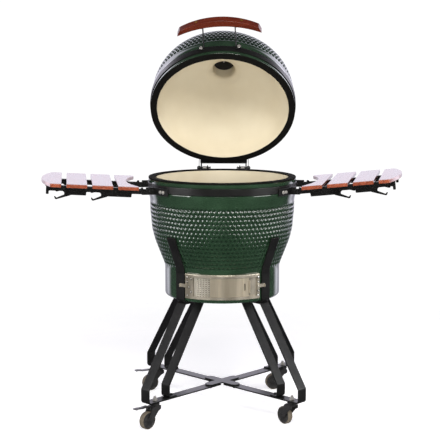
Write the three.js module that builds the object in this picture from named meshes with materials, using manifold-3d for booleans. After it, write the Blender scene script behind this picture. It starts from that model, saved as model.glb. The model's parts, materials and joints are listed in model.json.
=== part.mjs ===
// Ceramic charcoal grill (kamado kettle) on a four-legged caster stand with two folding slatted side shelves.
// Millimetres, +Z up, -Y is the front. The origin is on the floor, under the middle of the whole grill.
import * as THREE from "three";
import { mergeVertices } from "three/addons/utils/BufferGeometryUtils.js";
import Module from "manifold-3d";

const wasm = await Module();
wasm.setup();

// ---- driving dimensions ------------------------------------------------------------------------------
const AXIS_X = -0.7; // kettle axis, from the middle of the grill's box
const AXIS_Y = -41.1;
const RIM_Z = 860; // gasket plane between bowl and lid
const RIM_R = 266; // outside radius of both rims
const GAP = 0.3; // clearance between pieces that rest on each other
const TURN = 40; // facets round the kettle

const GASKET_T = 4.7;
const BAND_IN = RIM_R - 1.6; // steel bands: inner radius
const BAND_OUT = RIM_R + 2.4; // and outer radius
const BAND_NEAR = 19; // band edges, as distances from the gasket plane
const BAND_FAR = 44.6;

const HINGE_Y = 294; // lid pivot, level with the gasket plane
const LID_OPEN = THREE.MathUtils.degToRad(51.05);
const LID_TURN = THREE.MathUtils.degToRad(-2.3); // the lid and its hinge sit a little askew on the bowl
const PIN_R = 4;

const DOME_H = 208; // height of the lid's outer ellipsoid above its collar
const DOME_R = 263;
const COLLAR_H = 78;
const DOME_IN_R = 240; // inner ellipsoid
const DOME_IN_H = 183;
const DOME_IN_BASE = 40;
const FLUE_R = 41.3;
const FLUE_FOOT = 238; // where the flue starts to widen into the dome
const LID_TOP = 281;

const FOOT_R = 208.3; // bowl's straight foot
const BOWL_DEPTH = 430; // underside of the bowl, below the gasket plane
const FLOOR_DEPTH = 402; // inside floor of the bowl

const STRAP_W = 40; // flat bars of the stand
const STRAP_T = 5;
const KNEE_R = 385; // outer legs' knee, measured along the diagonal
const INNER_KNEE_R = 288;
const KNEE_DEPTH = 719.5;
const BAR_DEPTH = 767.5; // middle of the bottom bars
const SEAT_DEPTH = 433; // middle of the bars that carry the bowl
const TOP_FLANGE_DEPTH = SEAT_DEPTH + STRAP_T + GAP;

const STEM_R = 340; // casters, measured along the diagonal
const WHEEL_R = 31.4;
const WHEEL_W = 21;
const TRAIL = 37;

const SHELF_PIN_DEPTH = 44;
const SOCKET_SPAN = 242; // from a shelf's front socket to its rear one
const SLAT_W = 71.5;
const SLAT_GAP = 17.3;
const SLAT_L = 396;
const SLAT_T = 13;
const SLAT_INSET = 24; // from the pin line to the inner slat
const SLAT_FRONT = -70; // from the front socket to the slats' front ends
const SLAT_BASE = 10.7; // underside of the slats above the pin line
const SLAT_COUNT = 4;

// ---- materials ---------------------------------------------------------------------------------------
const paint = (color, roughness, metalness) => new THREE.MeshStandardMaterial({ color, roughness, metalness });
const glaze = () => paint(0x22402c, 0.12, 0);
const bareCeramic = () => paint(0xe8dab8, 0.9, 0);
const felt = () => paint(0x23211e, 1, 0);
const blackSteel = () => paint(0x262622, 0.45, 0.4);
const stainless = () => paint(0xbeb49b, 0.3, 1);
const castIron = () => paint(0x1b1b1a, 0.7, 0.6);
const handleWood = () => paint(0x7a3020, 0.35, 0);
const shelfWood = () => paint(0x8a4028, 0.25, 0);
const blackPlastic = () => paint(0x1c1c1c, 0.5, 0);
const tyre = () => paint(0x4a4338, 0.8, 0);

// ---- solids ------------------------------------------------------------------------------------------
const rad = THREE.MathUtils.degToRad;

function solid(geometry) {
  const bare = geometry.index ? geometry.toNonIndexed() : geometry.clone();
  bare.deleteAttribute("normal");
  bare.deleteAttribute("uv");
  const merged = mergeVertices(bare, 1e-3);
  return new wasm.Manifold(
    new wasm.Mesh({
      numProp: 3,
      vertProperties: merged.attributes.position.array,
      triVerts: new Uint32Array(merged.index.array),
    }),
  );
}

function joined(geometries) {
  return geometries.map(solid).reduce((whole, piece) => whole.add(piece));
}

function geometryOf(body) {
  const mesh = body.getMesh();
  const positions = new Float32Array(mesh.numVert * 3);
  for (let i = 0; i < mesh.numVert; i++) {
    positions.set(mesh.vertProperties.subarray(i * mesh.numProp, i * mesh.numProp + 3), i * 3);
  }
  const geometry = new THREE.BufferGeometry();
  geometry.setAttribute("position", new THREE.BufferAttribute(positions, 3));
  geometry.setIndex(new THREE.BufferAttribute(new Uint32Array(mesh.triVerts), 1));
  return geometry;
}

// Adds one named sub-part to a group, from a geometry or from a joined or cut body.
function addPart(parent, name, shape, material) {
  const geometry = shape.isBufferGeometry ? shape : geometryOf(shape);
  const mesh = new THREE.Mesh(geometry, material);
  mesh.name = name;
  parent.add(mesh);
  return mesh;
}

// Turns [radius, height] points round the Z axis. A ring's outline ends where it starts.
function revolve(outline, facets = TURN) {
  const points = outline.map(([r, z]) => new THREE.Vector2(r, z));
  return new THREE.LatheGeometry(points, facets).rotateX(Math.PI / 2);
}

function ring(rIn, rOut, z0, z1, facets = TURN) {
  return revolve([[rIn, z0], [rOut, z0], [rOut, z1], [rIn, z1], [rIn, z0]], facets);
}

// Part of a ring. Angles are in degrees from the front (-Y), positive towards +X.
function sector(rIn, rOut, z0, z1, from, to, steps = 8) {
  const a0 = rad(from - 90);
  const a1 = rad(to - 90);
  const shape = new THREE.Shape();
  shape.absarc(0, 0, rOut, a0, a1, false);
  shape.absarc(0, 0, rIn, a1, a0, true);
  const options = { depth: z1 - z0, bevelEnabled: false, curveSegments: steps };
  return new THREE.ExtrudeGeometry(shape, options).translate(0, 0, z0);
}

function block(x0, x1, y0, y1, z0, z1) {
  const box = new THREE.BoxGeometry(x1 - x0, y1 - y0, z1 - z0);
  return box.translate((x0 + x1) / 2, (y0 + y1) / 2, (z0 + z1) / 2);
}

// A shape drawn in (x, z) and given a thickness along Y.
function upright(shape, y0, y1, steps = 8) {
  const options = { depth: y1 - y0, bevelEnabled: false, curveSegments: steps };
  return new THREE.ExtrudeGeometry(shape, options).rotateX(Math.PI / 2).translate(0, y1, 0);
}

// A shape drawn in (y, z) and given a thickness along X.
function sideways(shape, x0, x1, steps = 8) {
  const options = { depth: x1 - x0, bevelEnabled: false, curveSegments: steps };
  const geometry = new THREE.ExtrudeGeometry(shape, options);
  return geometry.rotateX(Math.PI / 2).rotateZ(Math.PI / 2).translate(x0, 0, 0);
}

function polygon(points) {
  return new THREE.Shape(points.map(([x, y]) => new THREE.Vector2(x, y)));
}

// The outline of a flat bar of even thickness, bent along a centre line.
function bentBar(path, thickness) {
  const line = path.map(([x, y]) => new THREE.Vector2(x, y));
  const normals = line.slice(1).map((p, i) => {
    const along = p.clone().sub(line[i]).normalize();
    return new THREE.Vector2(-along.y, along.x);
  });
  const mitres = line.map((_, i) => {
    const before = normals[Math.max(i - 1, 0)];
    const after = normals[Math.min(i, normals.length - 1)];
    const middle = before.clone().add(after).normalize();
    return middle.multiplyScalar(thickness / 2 / middle.dot(before));
  });
  const near = line.map((p, i) => p.clone().add(mitres[i]));
  const far = line.map((p, i) => p.clone().sub(mitres[i]));
  return new THREE.Shape([...near, ...far.reverse()]);
}

// A stand strap: a bar bent in the plane of a diagonal, given as [distance from the axis, depth below the rim].
function strap(path) {
  const line = path.map(([r, depth]) => [r, -depth]);
  return upright(bentBar(line, STRAP_T), -STRAP_W / 2, STRAP_W / 2);
}

// ---- bowl and what it holds --------------------------------------------------------------------------
const BOWL_OUTSIDE = [
  [0, BOWL_DEPTH], [200, BOWL_DEPTH], [FOOT_R, BOWL_DEPTH - 12], [FOOT_R, 328], [211.5, 309], [222.5, 280],
  [246, 221], [255.5, 190], [261, 118], [261, 88], [RIM_R - 1, 60], [RIM_R - 2, 45],
  [RIM_R - 2, 18.7], [RIM_R, 18.6], [RIM_R, 5],
];
const BOWL_INSIDE = [
  [240, 5], [236, 118], [230.5, 190], [221, 221], [197.5, 280], [185, 320], [183, 392],
  [176, FLOOR_DEPTH], [0, FLOOR_DEPTH],
];

const DRAFT_HOLE_HALF_W = 52; // air hole through the foot, behind the draft door
const DRAFT_HOLE_TOP = -352;
const DRAFT_HOLE_BOTTOM = -392;

function buildBowl(rim) {
  const profile = [...BOWL_OUTSIDE, ...BOWL_INSIDE].map(([r, depth]) => [r, -depth]);
  const airHole = block(
    -DRAFT_HOLE_HALF_W, DRAFT_HOLE_HALF_W, -FOOT_R - 40, -FOOT_R + 60, DRAFT_HOLE_BOTTOM, DRAFT_HOLE_TOP,
  );
  addPart(rim, "bowl", solid(revolve(profile)).subtract(solid(airHole)), glaze());
  addPart(rim, "bowl_gasket", ring(DOME_IN_R, RIM_R, -GASKET_T, 0), felt());
  addPart(rim, "bowl_band", ring(BAND_IN, BAND_OUT, -BAND_FAR + GAP, -BAND_NEAR - GAP), blackSteel());
}

const FIRE_BOX_TOP = -172;
const CHARCOAL_PLATE_Z = -345; // ledge that carries the charcoal grate

function buildFireBox(rim) {
  const floor = -FLOOR_DEPTH + 0.5;
  const wall = [
    [148, floor], [170, floor], [178, -300], [210, FIRE_BOX_TOP], [188, FIRE_BOX_TOP],
    [160, -300], [160, CHARCOAL_PLATE_Z], [148, CHARCOAL_PLATE_Z], [148, floor],
  ];
  const ashDoor = block(-60, 60, -200, -120, floor - 10, DRAFT_HOLE_TOP);
  addPart(rim, "fire_box", solid(revolve(wall)).subtract(solid(ashDoor)), bareCeramic());
  addPart(rim, "fire_ring", ring(195, 219, FIRE_BOX_TOP + 0.5, GRATE_Z - 0.5), bareCeramic());
}

const GRATE_R = 222;
const GRATE_Z = -81.5; // underside of the cooking grate
const GRATE_T = 7;
const GRATE_BAR = 6;
const GRATE_BAR_PITCH = 27;

function buildGrates(rim) {
  const plateR = 158.5;
  const plateZ = CHARCOAL_PLATE_Z + 0.4;
  const plateTop = plateZ + 7.6;
  const slotW = 9;
  const slotPitch = 30;
  const slotEdge = 14; // solid rim outside the slots
  const webHalf = 7; // half of the solid web between the two rows of slots
  let plate = solid(revolve([[0, plateZ], [plateR, plateZ], [plateR, plateTop], [0, plateTop]], 28));
  for (let row = -4; row <= 4; row++) {
    const x = row * slotPitch;
    const half = Math.sqrt((plateR - slotEdge) ** 2 - x ** 2);
    plate = plate.subtract(solid(block(x - slotW / 2, x + slotW / 2, webHalf, half, plateZ - 5, plateTop + 5)));
    plate = plate.subtract(solid(block(x - slotW / 2, x + slotW / 2, -half, -webHalf, plateZ - 5, plateTop + 5)));
  }
  addPart(rim, "charcoal_grate", plate, castIron());

  const halfBar = GRATE_BAR / 2;
  const halfChord = (offset) => Math.sqrt((GRATE_R - 4) ** 2 - offset ** 2);
  let grate = solid(ring(GRATE_R - 8, GRATE_R, GRATE_Z, GRATE_Z + GRATE_T));
  for (let bar = -7; bar <= 7; bar++) {
    const x = bar * GRATE_BAR_PITCH;
    const half = halfChord(x);
    grate = grate.add(solid(block(x - halfBar, x + halfBar, -half, half, GRATE_Z + 0.5, GRATE_Z + 6.5)));
  }
  for (const y of [-80, 80]) {
    const half = halfChord(y);
    grate = grate.add(solid(block(-half, half, y - halfBar, y + halfBar, GRATE_Z + 1, GRATE_Z + 5)));
  }
  addPart(rim, "cooking_grate", grate, castIron());
}

// ---- draft door --------------------------------------------------------------------------------------
// Angles round the foot are in degrees from the front.
const DRAFT_MIDDLE = -0.9;
const DRAFT_HALF = 37;
const DRAFT_TOP = -328;
const DRAFT_BOTTOM = -414;
const RAIL_H = 12;
const RAIL_T = 3;
const FRAME_BACK = [209, 211]; // inner and outer radius of the plate against the foot
const FRAME_BORDER = 6; // width of the frame's upright sides
const LIP = [216, 217.5]; // radii of the rails' lips
const STOP_W = 1.2; // upright strip that closes each end
const CLIP = [218, 220]; // radii of the clips at the ends
const CLIP_W = 6.5;
const CLIP_Z = [-376, -366];
const SCREEN_SPAN = [-28.5, 9.5];
const DOOR_SPAN = [-12.4, 25.5];
const PANEL_MARGIN = 3.5; // panels end this far inside the frame's edges
const PULL_MARGIN = 16;

function buildDraftDoor(rim) {
  const from = DRAFT_MIDDLE - DRAFT_HALF;
  const to = DRAFT_MIDDLE + DRAFT_HALF;
  const root = FRAME_BACK[1] - 0.5;
  const hole = sector(
    FRAME_BACK[0] - 9, LIP[1], DRAFT_BOTTOM + RAIL_H, DRAFT_TOP - RAIL_H, from + FRAME_BORDER, to - FRAME_BORDER, 7,
  );
  const back = solid(sector(...FRAME_BACK, DRAFT_BOTTOM, DRAFT_TOP, from, to, 9)).subtract(solid(hole));
  const rails = [];
  for (const [edge, inward] of [[DRAFT_TOP, -1], [DRAFT_BOTTOM, 1]]) {
    const ledge = [edge, edge + inward * RAIL_T].sort((a, b) => a - b);
    const lip = [edge, edge + inward * RAIL_H].sort((a, b) => a - b);
    rails.push(sector(root, LIP[1], ledge[0], ledge[1], from, to, 9));
    rails.push(sector(LIP[0], LIP[1], lip[0], lip[1], from, to, 9));
  }
  for (const [end, side] of [[from, 1], [to, -1]]) {
    const stop = [end, end + side * STOP_W].sort((a, b) => a - b);
    const clip = [end - side * CLIP_W, end + side * STOP_W].sort((a, b) => a - b);
    rails.push(sector(root, LIP[1], DRAFT_BOTTOM, DRAFT_TOP, stop[0], stop[1], 1));
    rails.push(sector(root, CLIP[1], CLIP_Z[0], CLIP_Z[1], stop[0], stop[1], 1));
    rails.push(sector(CLIP[0], CLIP[1], CLIP_Z[0], CLIP_Z[1], clip[0], clip[1], 3));
  }
  addPart(rim, "draft_frame", back.add(joined(rails)), stainless());

  const low = DRAFT_BOTTOM + PANEL_MARGIN;
  const high = DRAFT_TOP - PANEL_MARGIN;
  addPart(rim, "draft_screen", sector(211.3, 212.6, low, high, ...SCREEN_SPAN), stainless());
  const pull = sector(214, CLIP[1], low + PULL_MARGIN, high - PULL_MARGIN, DOOR_SPAN[1] - 1.1, DOOR_SPAN[1], 1);
  addPart(rim, "draft_door", joined([sector(213, 214.6, low, high, ...DOOR_SPAN), pull]), stainless());
}

// ---- stand -------------------------------------------------------------------------------------------
const CORNERS = { front_left: -135, front_right: -45, rear_right: 45, rear_left: 135 };
const TRAILS = { front_left: -134, front_right: 127, rear_right: -168, rear_left: -159 };

const CRADLE_PATH = [
  [257.6, 200], [214.3, 311], [212.2, 330], [212.2, 424], [204, SEAT_DEPTH], [30, SEAT_DEPTH],
];
const OUTER_LEG_PATH = [
  [165, TOP_FLANGE_DEPTH], [206, TOP_FLANGE_DEPTH], [KNEE_R, KNEE_DEPTH],
  [KNEE_R, BAR_DEPTH - 7.5], [KNEE_R - 7, BAR_DEPTH], [25, BAR_DEPTH],
];
const INNER_LEG_PATH = [
  [74, TOP_FLANGE_DEPTH], [111, TOP_FLANGE_DEPTH], [INNER_KNEE_R, KNEE_DEPTH],
  [INNER_KNEE_R, BAR_DEPTH - 10], [INNER_KNEE_R - 5, BAR_DEPTH - STRAP_T - GAP],
  [INNER_KNEE_R - 36, BAR_DEPTH - STRAP_T - GAP],
];

// A plate with four rounded arms along the diagonals.
function crossPlate(reach, z0, z1) {
  const half = STRAP_W / 2 - 1;
  const arms = [0, 90].map((turn) => {
    const shape = new THREE.Shape();
    shape.absarc(reach - half, 0, half, -Math.PI / 2, Math.PI / 2, false);
    shape.absarc(half - reach, 0, half, Math.PI / 2, (3 * Math.PI) / 2, false);
    const arm = new THREE.ExtrudeGeometry(shape, { depth: z1 - z0, bevelEnabled: false, curveSegments: 6 });
    return arm.rotateZ(rad(45 + turn)).translate(0, 0, z0);
  });
  return joined(arms);
}

function buildStand(rim) {
  const barTop = -BAR_DEPTH + STRAP_T / 2;
  const barUnder = -BAR_DEPTH - STRAP_T / 2;
  for (const [corner, angle] of Object.entries(CORNERS)) {
    const leg = new THREE.Group();
    leg.rotation.z = rad(angle);
    rim.add(leg);
    addPart(leg, "cradle_arm_" + corner, strap(CRADLE_PATH), blackSteel());
    const stem = new THREE.CylinderGeometry(9, 9, 4, 16).rotateX(Math.PI / 2).translate(STEM_R, 0, barUnder - 1.9);
    const nut = new THREE.CylinderGeometry(9.5, 9.5, 8, 6).rotateX(Math.PI / 2).translate(STEM_R, 0, barTop + 3.9);
    const stud = new THREE.CylinderGeometry(5, 5, 8, 12).rotateX(Math.PI / 2).translate(STEM_R, 0, barTop + 10);
    addPart(leg, "leg_outer_" + corner, joined([strap(OUTER_LEG_PATH), stem, nut, stud]), blackSteel());
    addPart(leg, "leg_inner_" + corner, strap(INNER_LEG_PATH), blackSteel());
    buildCaster(rim, corner, rad(angle));
  }
  addPart(rim, "cross_plate_lower", crossPlate(82, barTop + GAP, barTop + GAP + 5), blackSteel());
  const seatUnder = -SEAT_DEPTH - STRAP_T / 2;
  addPart(rim, "cross_plate_upper", crossPlate(68, seatUnder - GAP - 5, seatUnder - GAP), blackSteel());
}

// ---- casters -----------------------------------------------------------------------------------------
const FORK_BACK = -15; // the fork's ends, along its trail
const FORK_FRONT = 22;
const CHEEK_T = 3.2;
const CHEEK_GAP = 2.3; // between a wheel's side and the fork's cheek
const CHEEK_EYE = 11; // radius of the cheek round the axle
const BRIDGE_T = 5;
const HUB_GAP = 0.3; // clearance between hub and axle
const PEDAL_PIVOT = [30, -15.5]; // along the trail, and below the fork's top
const PEDAL_END = 98;
const PEDAL_HALF_W = 11;

function buildCaster(rim, corner, angle) {
  const caster = new THREE.Group();
  caster.position.set(STEM_R * Math.cos(angle), STEM_R * Math.sin(angle), 0);
  caster.rotation.z = rad(TRAILS[corner]);
  rim.add(caster);

  const top = -BAR_DEPTH - STRAP_T / 2 - 4.3;
  const bridgeTop = top - 8;
  const axleZ = WHEEL_R - RIM_Z;
  const cheekIn = WHEEL_W / 2 + CHEEK_GAP;
  const cheekOut = cheekIn + CHEEK_T;
  const housing = new THREE.CylinderGeometry(17, 15, 9, 16).rotateX(Math.PI / 2).translate(0, 0, top - 4.5);
  const bridge = block(FORK_BACK, FORK_FRONT, -cheekOut, cheekOut, bridgeTop - BRIDGE_T, bridgeTop);
  const cheek = new THREE.Shape();
  cheek.moveTo(FORK_BACK, bridgeTop);
  cheek.lineTo(FORK_FRONT, bridgeTop);
  cheek.absarc(TRAIL, axleZ, CHEEK_EYE, rad(20), rad(-120), true);
  cheek.lineTo(FORK_BACK, bridgeTop - 12);
  const axle = new THREE.CylinderGeometry(PIN_R, PIN_R, 2 * cheekOut + 4, 12).translate(TRAIL, 0, axleZ);
  const cheeks = [upright(cheek, -cheekOut, -cheekIn, 5), upright(cheek, cheekIn, cheekOut, 5)];
  addPart(caster, "caster_fork_" + corner, joined([housing, bridge, ...cheeks, axle]), blackPlastic());

  const half = WHEEL_W / 2;
  const bore = PIN_R + HUB_GAP;
  const section = [
    [bore, -half - 1.5], [12, -half], [28, -half], [WHEEL_R, -half + 4],
    [WHEEL_R, half - 4], [28, half], [12, half], [bore, half + 1.5], [bore, -half - 1.5],
  ].map(([r, y]) => new THREE.Vector2(r, y));
  const wheel = new THREE.LatheGeometry(section, 28).translate(TRAIL, 0, axleZ);
  addPart(caster, "caster_wheel_" + corner, wheel, tyre());

  if (corner.endsWith("left")) {
    const [pivotX, pivotDrop] = PEDAL_PIVOT;
    const lever = [[pivotX, top + pivotDrop], [pivotX, top - 6.5], [pivotX + 5, top - 4], [PEDAL_END, top - 3]];
    const barrel = new THREE.CylinderGeometry(PIN_R, PIN_R, 22, 12).translate(pivotX, 0, top + pivotDrop);
    const pedal = upright(bentBar(lever, 3), -PEDAL_HALF_W, PEDAL_HALF_W);
    addPart(caster, "brake_pedal_" + corner, joined([pedal, barrel]), blackPlastic());
  }
}

// ---- lid, in its closed place ------------------------------------------------------------------------
function ellipse(radius, height, base, fromR, toR, steps) {
  const angles = [fromR, toR].map((r) => Math.acos(Math.min(r / radius, 1)));
  return Array.from({ length: steps + 1 }, (_, i) => {
    const a = angles[0] + ((angles[1] - angles[0]) * i) / steps;
    return [radius * Math.cos(a), base + height * Math.sin(a)];
  });
}

const LID_LIP_IN = DOME_IN_R + 2.7; // inner radius of the lid's bare rim

function buildLid(lid) {
  const collar = [
    [RIM_R, 5.3], [RIM_R, 18.6], [RIM_R - 2, 18.7], [RIM_R - 2, 45], [RIM_R - 1, 60],
  ];
  const outside = [...ellipse(DOME_R, DOME_H, COLLAR_H, DOME_R, 62, 10), [57, LID_TOP]];
  const flue = [[FLUE_R, LID_TOP], [FLUE_R, FLUE_FOOT], [FLUE_R + 2.2, FLUE_FOOT - 6], [FLUE_R + 8.7, FLUE_FOOT - 12]];
  const inside = ellipse(DOME_IN_R, DOME_IN_H, DOME_IN_BASE, DOME_IN_R, FLUE_R + 22, 8).reverse();
  const profile = [...collar, ...outside, ...flue, ...inside, [LID_LIP_IN, 5.3], collar[0]];
  addPart(lid, "lid_dome", revolve(profile), glaze());
  addPart(lid, "lid_gasket", ring(LID_LIP_IN, RIM_R, GAP, GAP + GASKET_T), felt());
  addPart(lid, "lid_band", ring(BAND_IN, BAND_OUT, BAND_NEAR + GAP, BAND_FAR - GAP), blackSteel());
}

// ---- vent --------------------------------------------------------------------------------------------
const VENT_FLANGE_R = 60;
const VENT_FLANGE_T = 4.5;
const VENT_WALL = [53, 57]; // radii of the raised ring round the cap
const VENT_WALL_H = 16;
const VENT_CAP_R = 51;
const AIR_HOLES = 6;
const AIR_HOLE_RADII = [13, 33];
const AIR_HOLE_HALF = 13; // half of a hole's width, in degrees
const KNOB_H = 15;
const VENT_TAB_HALF = 9;
const VENT_TAB_ROOT = -38; // the tab runs from here, over the wall, to its end
const VENT_TAB_END = -74;

function buildVent(lid) {
  const z0 = LID_TOP + GAP;
  const airHoles = (z, turn) =>
    Array.from({ length: AIR_HOLES }, (_, i) => {
      const middle = (i * 360) / AIR_HOLES + turn;
      return sector(...AIR_HOLE_RADII, z - 2, z + 12, middle - AIR_HOLE_HALF, middle + AIR_HOLE_HALF, 2);
    });
  const flangeTop = z0 + VENT_FLANGE_T;
  const flange = solid(revolve([[0, z0], [VENT_FLANGE_R, z0], [VENT_FLANGE_R, flangeTop], [0, flangeTop]], 24));
  const wall = solid(ring(...VENT_WALL, flangeTop - 1, z0 + VENT_WALL_H, 24));
  addPart(lid, "vent_base", flange.add(wall).subtract(joined(airHoles(z0, 0))), castIron());

  const capZ = flangeTop + GAP;
  const dome = solid(revolve([[0, capZ], [VENT_CAP_R, capZ], [VENT_CAP_R, capZ + 5], [0, capZ + 8]], 24));
  const knob = new THREE.CylinderGeometry(9, 11, KNOB_H, 16).rotateX(Math.PI / 2).translate(0, 0, capZ + 14);
  const tab = block(-VENT_TAB_HALF, VENT_TAB_HALF, VENT_TAB_END, VENT_TAB_ROOT, capZ + 12.5, capZ + 17.5);
  const riser = block(-VENT_TAB_HALF, VENT_TAB_HALF, VENT_TAB_ROOT - 10, VENT_TAB_ROOT, capZ + 3, capZ + 14);
  const cap = dome.subtract(joined(airHoles(capZ, 180 / AIR_HOLES))).add(joined([knob, riser, tab]));
  addPart(lid, "vent_cap", cap, castIron());
}

// ---- handle ------------------------------------------------------------------------------------------
const HANDLE_TURN = rad(-3.2); // the handle sits askew on its band
const HANDLE_SHIFT = 8;
const HANDLE_OUTER = { reach: 370, half: 141, sag: 38.3 }; // arcs of the wooden bar, reach from the lid's axis
const HANDLE_INNER = { reach: 345, half: 149.3, sag: 34.7 };
const HANDLE_LOW = 53;
const HANDLE_HIGH = 80.5;
const POST_X = 57;
const POST_T = 4;
const POST_FOOT_Z = [22, 42];
const POST_CAP_HALF = 8;

// The centre line's radius and the half angle of an arc of the handle.
function handleArc({ half, sag }) {
  const radius = (half ** 2 + sag ** 2) / (2 * sag);
  return { radius, spread: Math.asin(half / radius) };
}

function buildHandle(lid) {
  const handle = new THREE.Group();
  handle.position.x = HANDLE_SHIFT;
  handle.rotation.z = HANDLE_TURN;
  lid.add(handle);
  const outer = handleArc(HANDLE_OUTER);
  const inner = handleArc(HANDLE_INNER);
  const front = -Math.PI / 2;
  const shape = new THREE.Shape();
  shape.absarc(0, outer.radius - HANDLE_OUTER.reach, outer.radius, front - outer.spread, front + outer.spread, false);
  shape.absarc(0, inner.radius - HANDLE_INNER.reach, inner.radius, front + inner.spread, front - inner.spread, true);
  const options = { depth: HANDLE_HIGH - HANDLE_LOW, bevelEnabled: false, curveSegments: 14 };
  const bar = new THREE.ExtrudeGeometry(shape, options).translate(0, 0, HANDLE_LOW);
  addPart(handle, "lid_handle", bar, handleWood());

  const capOut = POST_X + 11;
  const dip = inner.radius - Math.sqrt(inner.radius ** 2 - capOut ** 2); // the bar's inner face falls back
  const postTop = -(HANDLE_INNER.reach - dip) + GAP + 0.4;
  const middle = (HANDLE_LOW + HANDLE_HIGH) / 2;
  const [footLow, footHigh] = POST_FOOT_Z;
  const web = polygon([
    [-BAND_OUT - 0.6, footLow], [-BAND_OUT - 0.6, footHigh], [postTop + 14, middle + POST_CAP_HALF],
    [postTop, middle + POST_CAP_HALF], [postTop, middle - POST_CAP_HALF], [-BAND_OUT - 14, footLow],
  ]);
  for (const side of [-1, 1]) {
    const name = side < 0 ? "handle_post_left" : "handle_post_right";
    const edge = side * (POST_X - POST_T / 2);
    const footX = [edge, side * (POST_X + 18)].sort((a, b) => a - b);
    const capX = [edge, side * capOut].sort((a, b) => a - b);
    const foot = block(footX[0], footX[1], -BAND_OUT - 4, -BAND_OUT - 0.5, footLow, footHigh);
    const cap = block(capX[0], capX[1], postTop, postTop + 3.5, middle - POST_CAP_HALF, middle + POST_CAP_HALF);
    const plate = sideways(web, side * POST_X - POST_T / 2, side * POST_X + POST_T / 2);
    addPart(handle, name, joined([plate, foot, cap]), blackSteel());
  }
}

// ---- hinge -------------------------------------------------------------------------------------------
const HINGE_PLATE_Y = BAND_OUT + 0.6;
const HINGE_PLATE_W = 180;
const HINGE_PLATE_T = 5;
const HINGE_EAR_R = 9;
const HINGE_EAR_T = 5;
const BASE_EAR_X = 62;
const ARM_EAR_X = 86;
const HINGE_PIN_ENDS = [50, 92]; // a pin's ends, from the middle of the hinge

// An ear that joins a plate's edge to the pivot.
function hingeEar(x, z0, z1, arcFrom, arcTo) {
  const shape = new THREE.Shape();
  shape.moveTo(HINGE_PLATE_Y + 1, z0);
  shape.absarc(HINGE_Y, 0, HINGE_EAR_R, rad(arcFrom), rad(arcTo), false);
  shape.lineTo(HINGE_PLATE_Y + 1, z1);
  return sideways(shape, x - HINGE_EAR_T / 2, x + HINGE_EAR_T / 2, 10);
}

function hingePlate(z0, z1) {
  return block(-HINGE_PLATE_W / 2, HINGE_PLATE_W / 2, HINGE_PLATE_Y, HINGE_PLATE_Y + HINGE_PLATE_T, z0, z1);
}

// A cylinder along X through the lid's pivot.
function hingeCylinder(radius, x, length) {
  return new THREE.CylinderGeometry(radius, radius, length, 16).rotateZ(Math.PI / 2).translate(x, HINGE_Y, 0);
}

function buildHingeBase(parent) {
  const pieces = [hingePlate(-58, -14)];
  const [near, far] = HINGE_PIN_ENDS;
  for (const side of [-1, 1]) {
    pieces.push(hingeEar(side * BASE_EAR_X, -54, -16, -55, 125));
    pieces.push(hingeCylinder(PIN_R, (side * (near + far)) / 2, far - near));
  }
  addPart(parent, "hinge_base", joined(pieces), blackSteel());
}

function buildHingeArm(lid) {
  const places = [-ARM_EAR_X, ARM_EAR_X];
  const ears = places.map((x) => hingeEar(x, 6, 54, -110, 50));
  const holes = places.map((x) => hingeCylinder(PIN_R + 0.4, x, HINGE_EAR_T + 3));
  const arm = joined([hingePlate(2.5, 58), ...ears]).subtract(joined(holes));
  addPart(lid, "hinge_arm", arm, blackSteel());
}

// ---- side shelves ------------------------------------------------------------------------------------
const SHELVES = {
  left: { side: -1, x: -275.4, y: -128, toe: 5.9, tilt: 3.25 },
  right: { side: 1, x: 262.4, y: -128, toe: 11.65, tilt: 6 },
};
const SHELF_PIN_R = 4.2;

const SOCKET_FOOT_IN = BAND_OUT + 0.5;
const SOCKET_FOOT_OUT = SOCKET_FOOT_IN + 3.5;
const SOCKET_FOOT_SPAN = 17.5; // degrees round the bowl

// A socket's plate, with an upward notch for the shelf's pin. Reach is from the pin back to the band.
function socketPlate(side, reach) {
  const inner = -side * (reach - 2.6);
  const plate = new THREE.Shape();
  plate.moveTo(inner, -10);
  plate.lineTo(side * 9, -10);
  plate.lineTo(side * 14, -5);
  plate.lineTo(side * 14, 13);
  plate.lineTo(side * 11, 16);
  plate.lineTo(side * 4.8, 16);
  plate.lineTo(side * 4.8, 0);
  plate.absarc(0, 0, 4.8, side > 0 ? 0 : Math.PI, side > 0 ? Math.PI : 0, side > 0);
  plate.lineTo(-side * 4.8, 16);
  plate.lineTo(inner, 16);
  return upright(plate, -2.5, 2.5, 10);
}

function buildSockets(rim, name, shelf) {
  const { side } = shelf;
  const turn = -side * rad(shelf.toe);
  const upAxis = new THREE.Vector3(0, 0, 1);
  const inward = new THREE.Vector3(-side, 0, 0).applyAxisAngle(upAxis, turn);
  for (const place of ["front", "rear"]) {
    const pin = new THREE.Vector3(0, place === "rear" ? SOCKET_SPAN : 0, 0).applyAxisAngle(upAxis, turn);
    pin.add(new THREE.Vector3(shelf.x, shelf.y, 0));
    const along = pin.dot(inward);
    const reach = -along - Math.sqrt(along ** 2 - pin.lengthSq() + SOCKET_FOOT_IN ** 2);
    const root = pin.clone().addScaledVector(inward, reach);
    const azimuth = THREE.MathUtils.radToDeg(Math.atan2(root.x, -root.y));
    const onward = place === "rear" ? side : -side; // the foot runs on from the plate, away from the shelf
    const span = [azimuth + onward * SOCKET_FOOT_SPAN, azimuth - onward * 1.2].sort((a, b) => a - b);
    const foot = sector(SOCKET_FOOT_IN, SOCKET_FOOT_OUT, -54, -28, span[0], span[1], 6);
    const plate = socketPlate(side, reach).rotateZ(turn).translate(pin.x, pin.y, -SHELF_PIN_DEPTH);
    addPart(rim, `socket_${name}_${place}`, joined([foot, plate]), blackSteel());
  }
}

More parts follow.
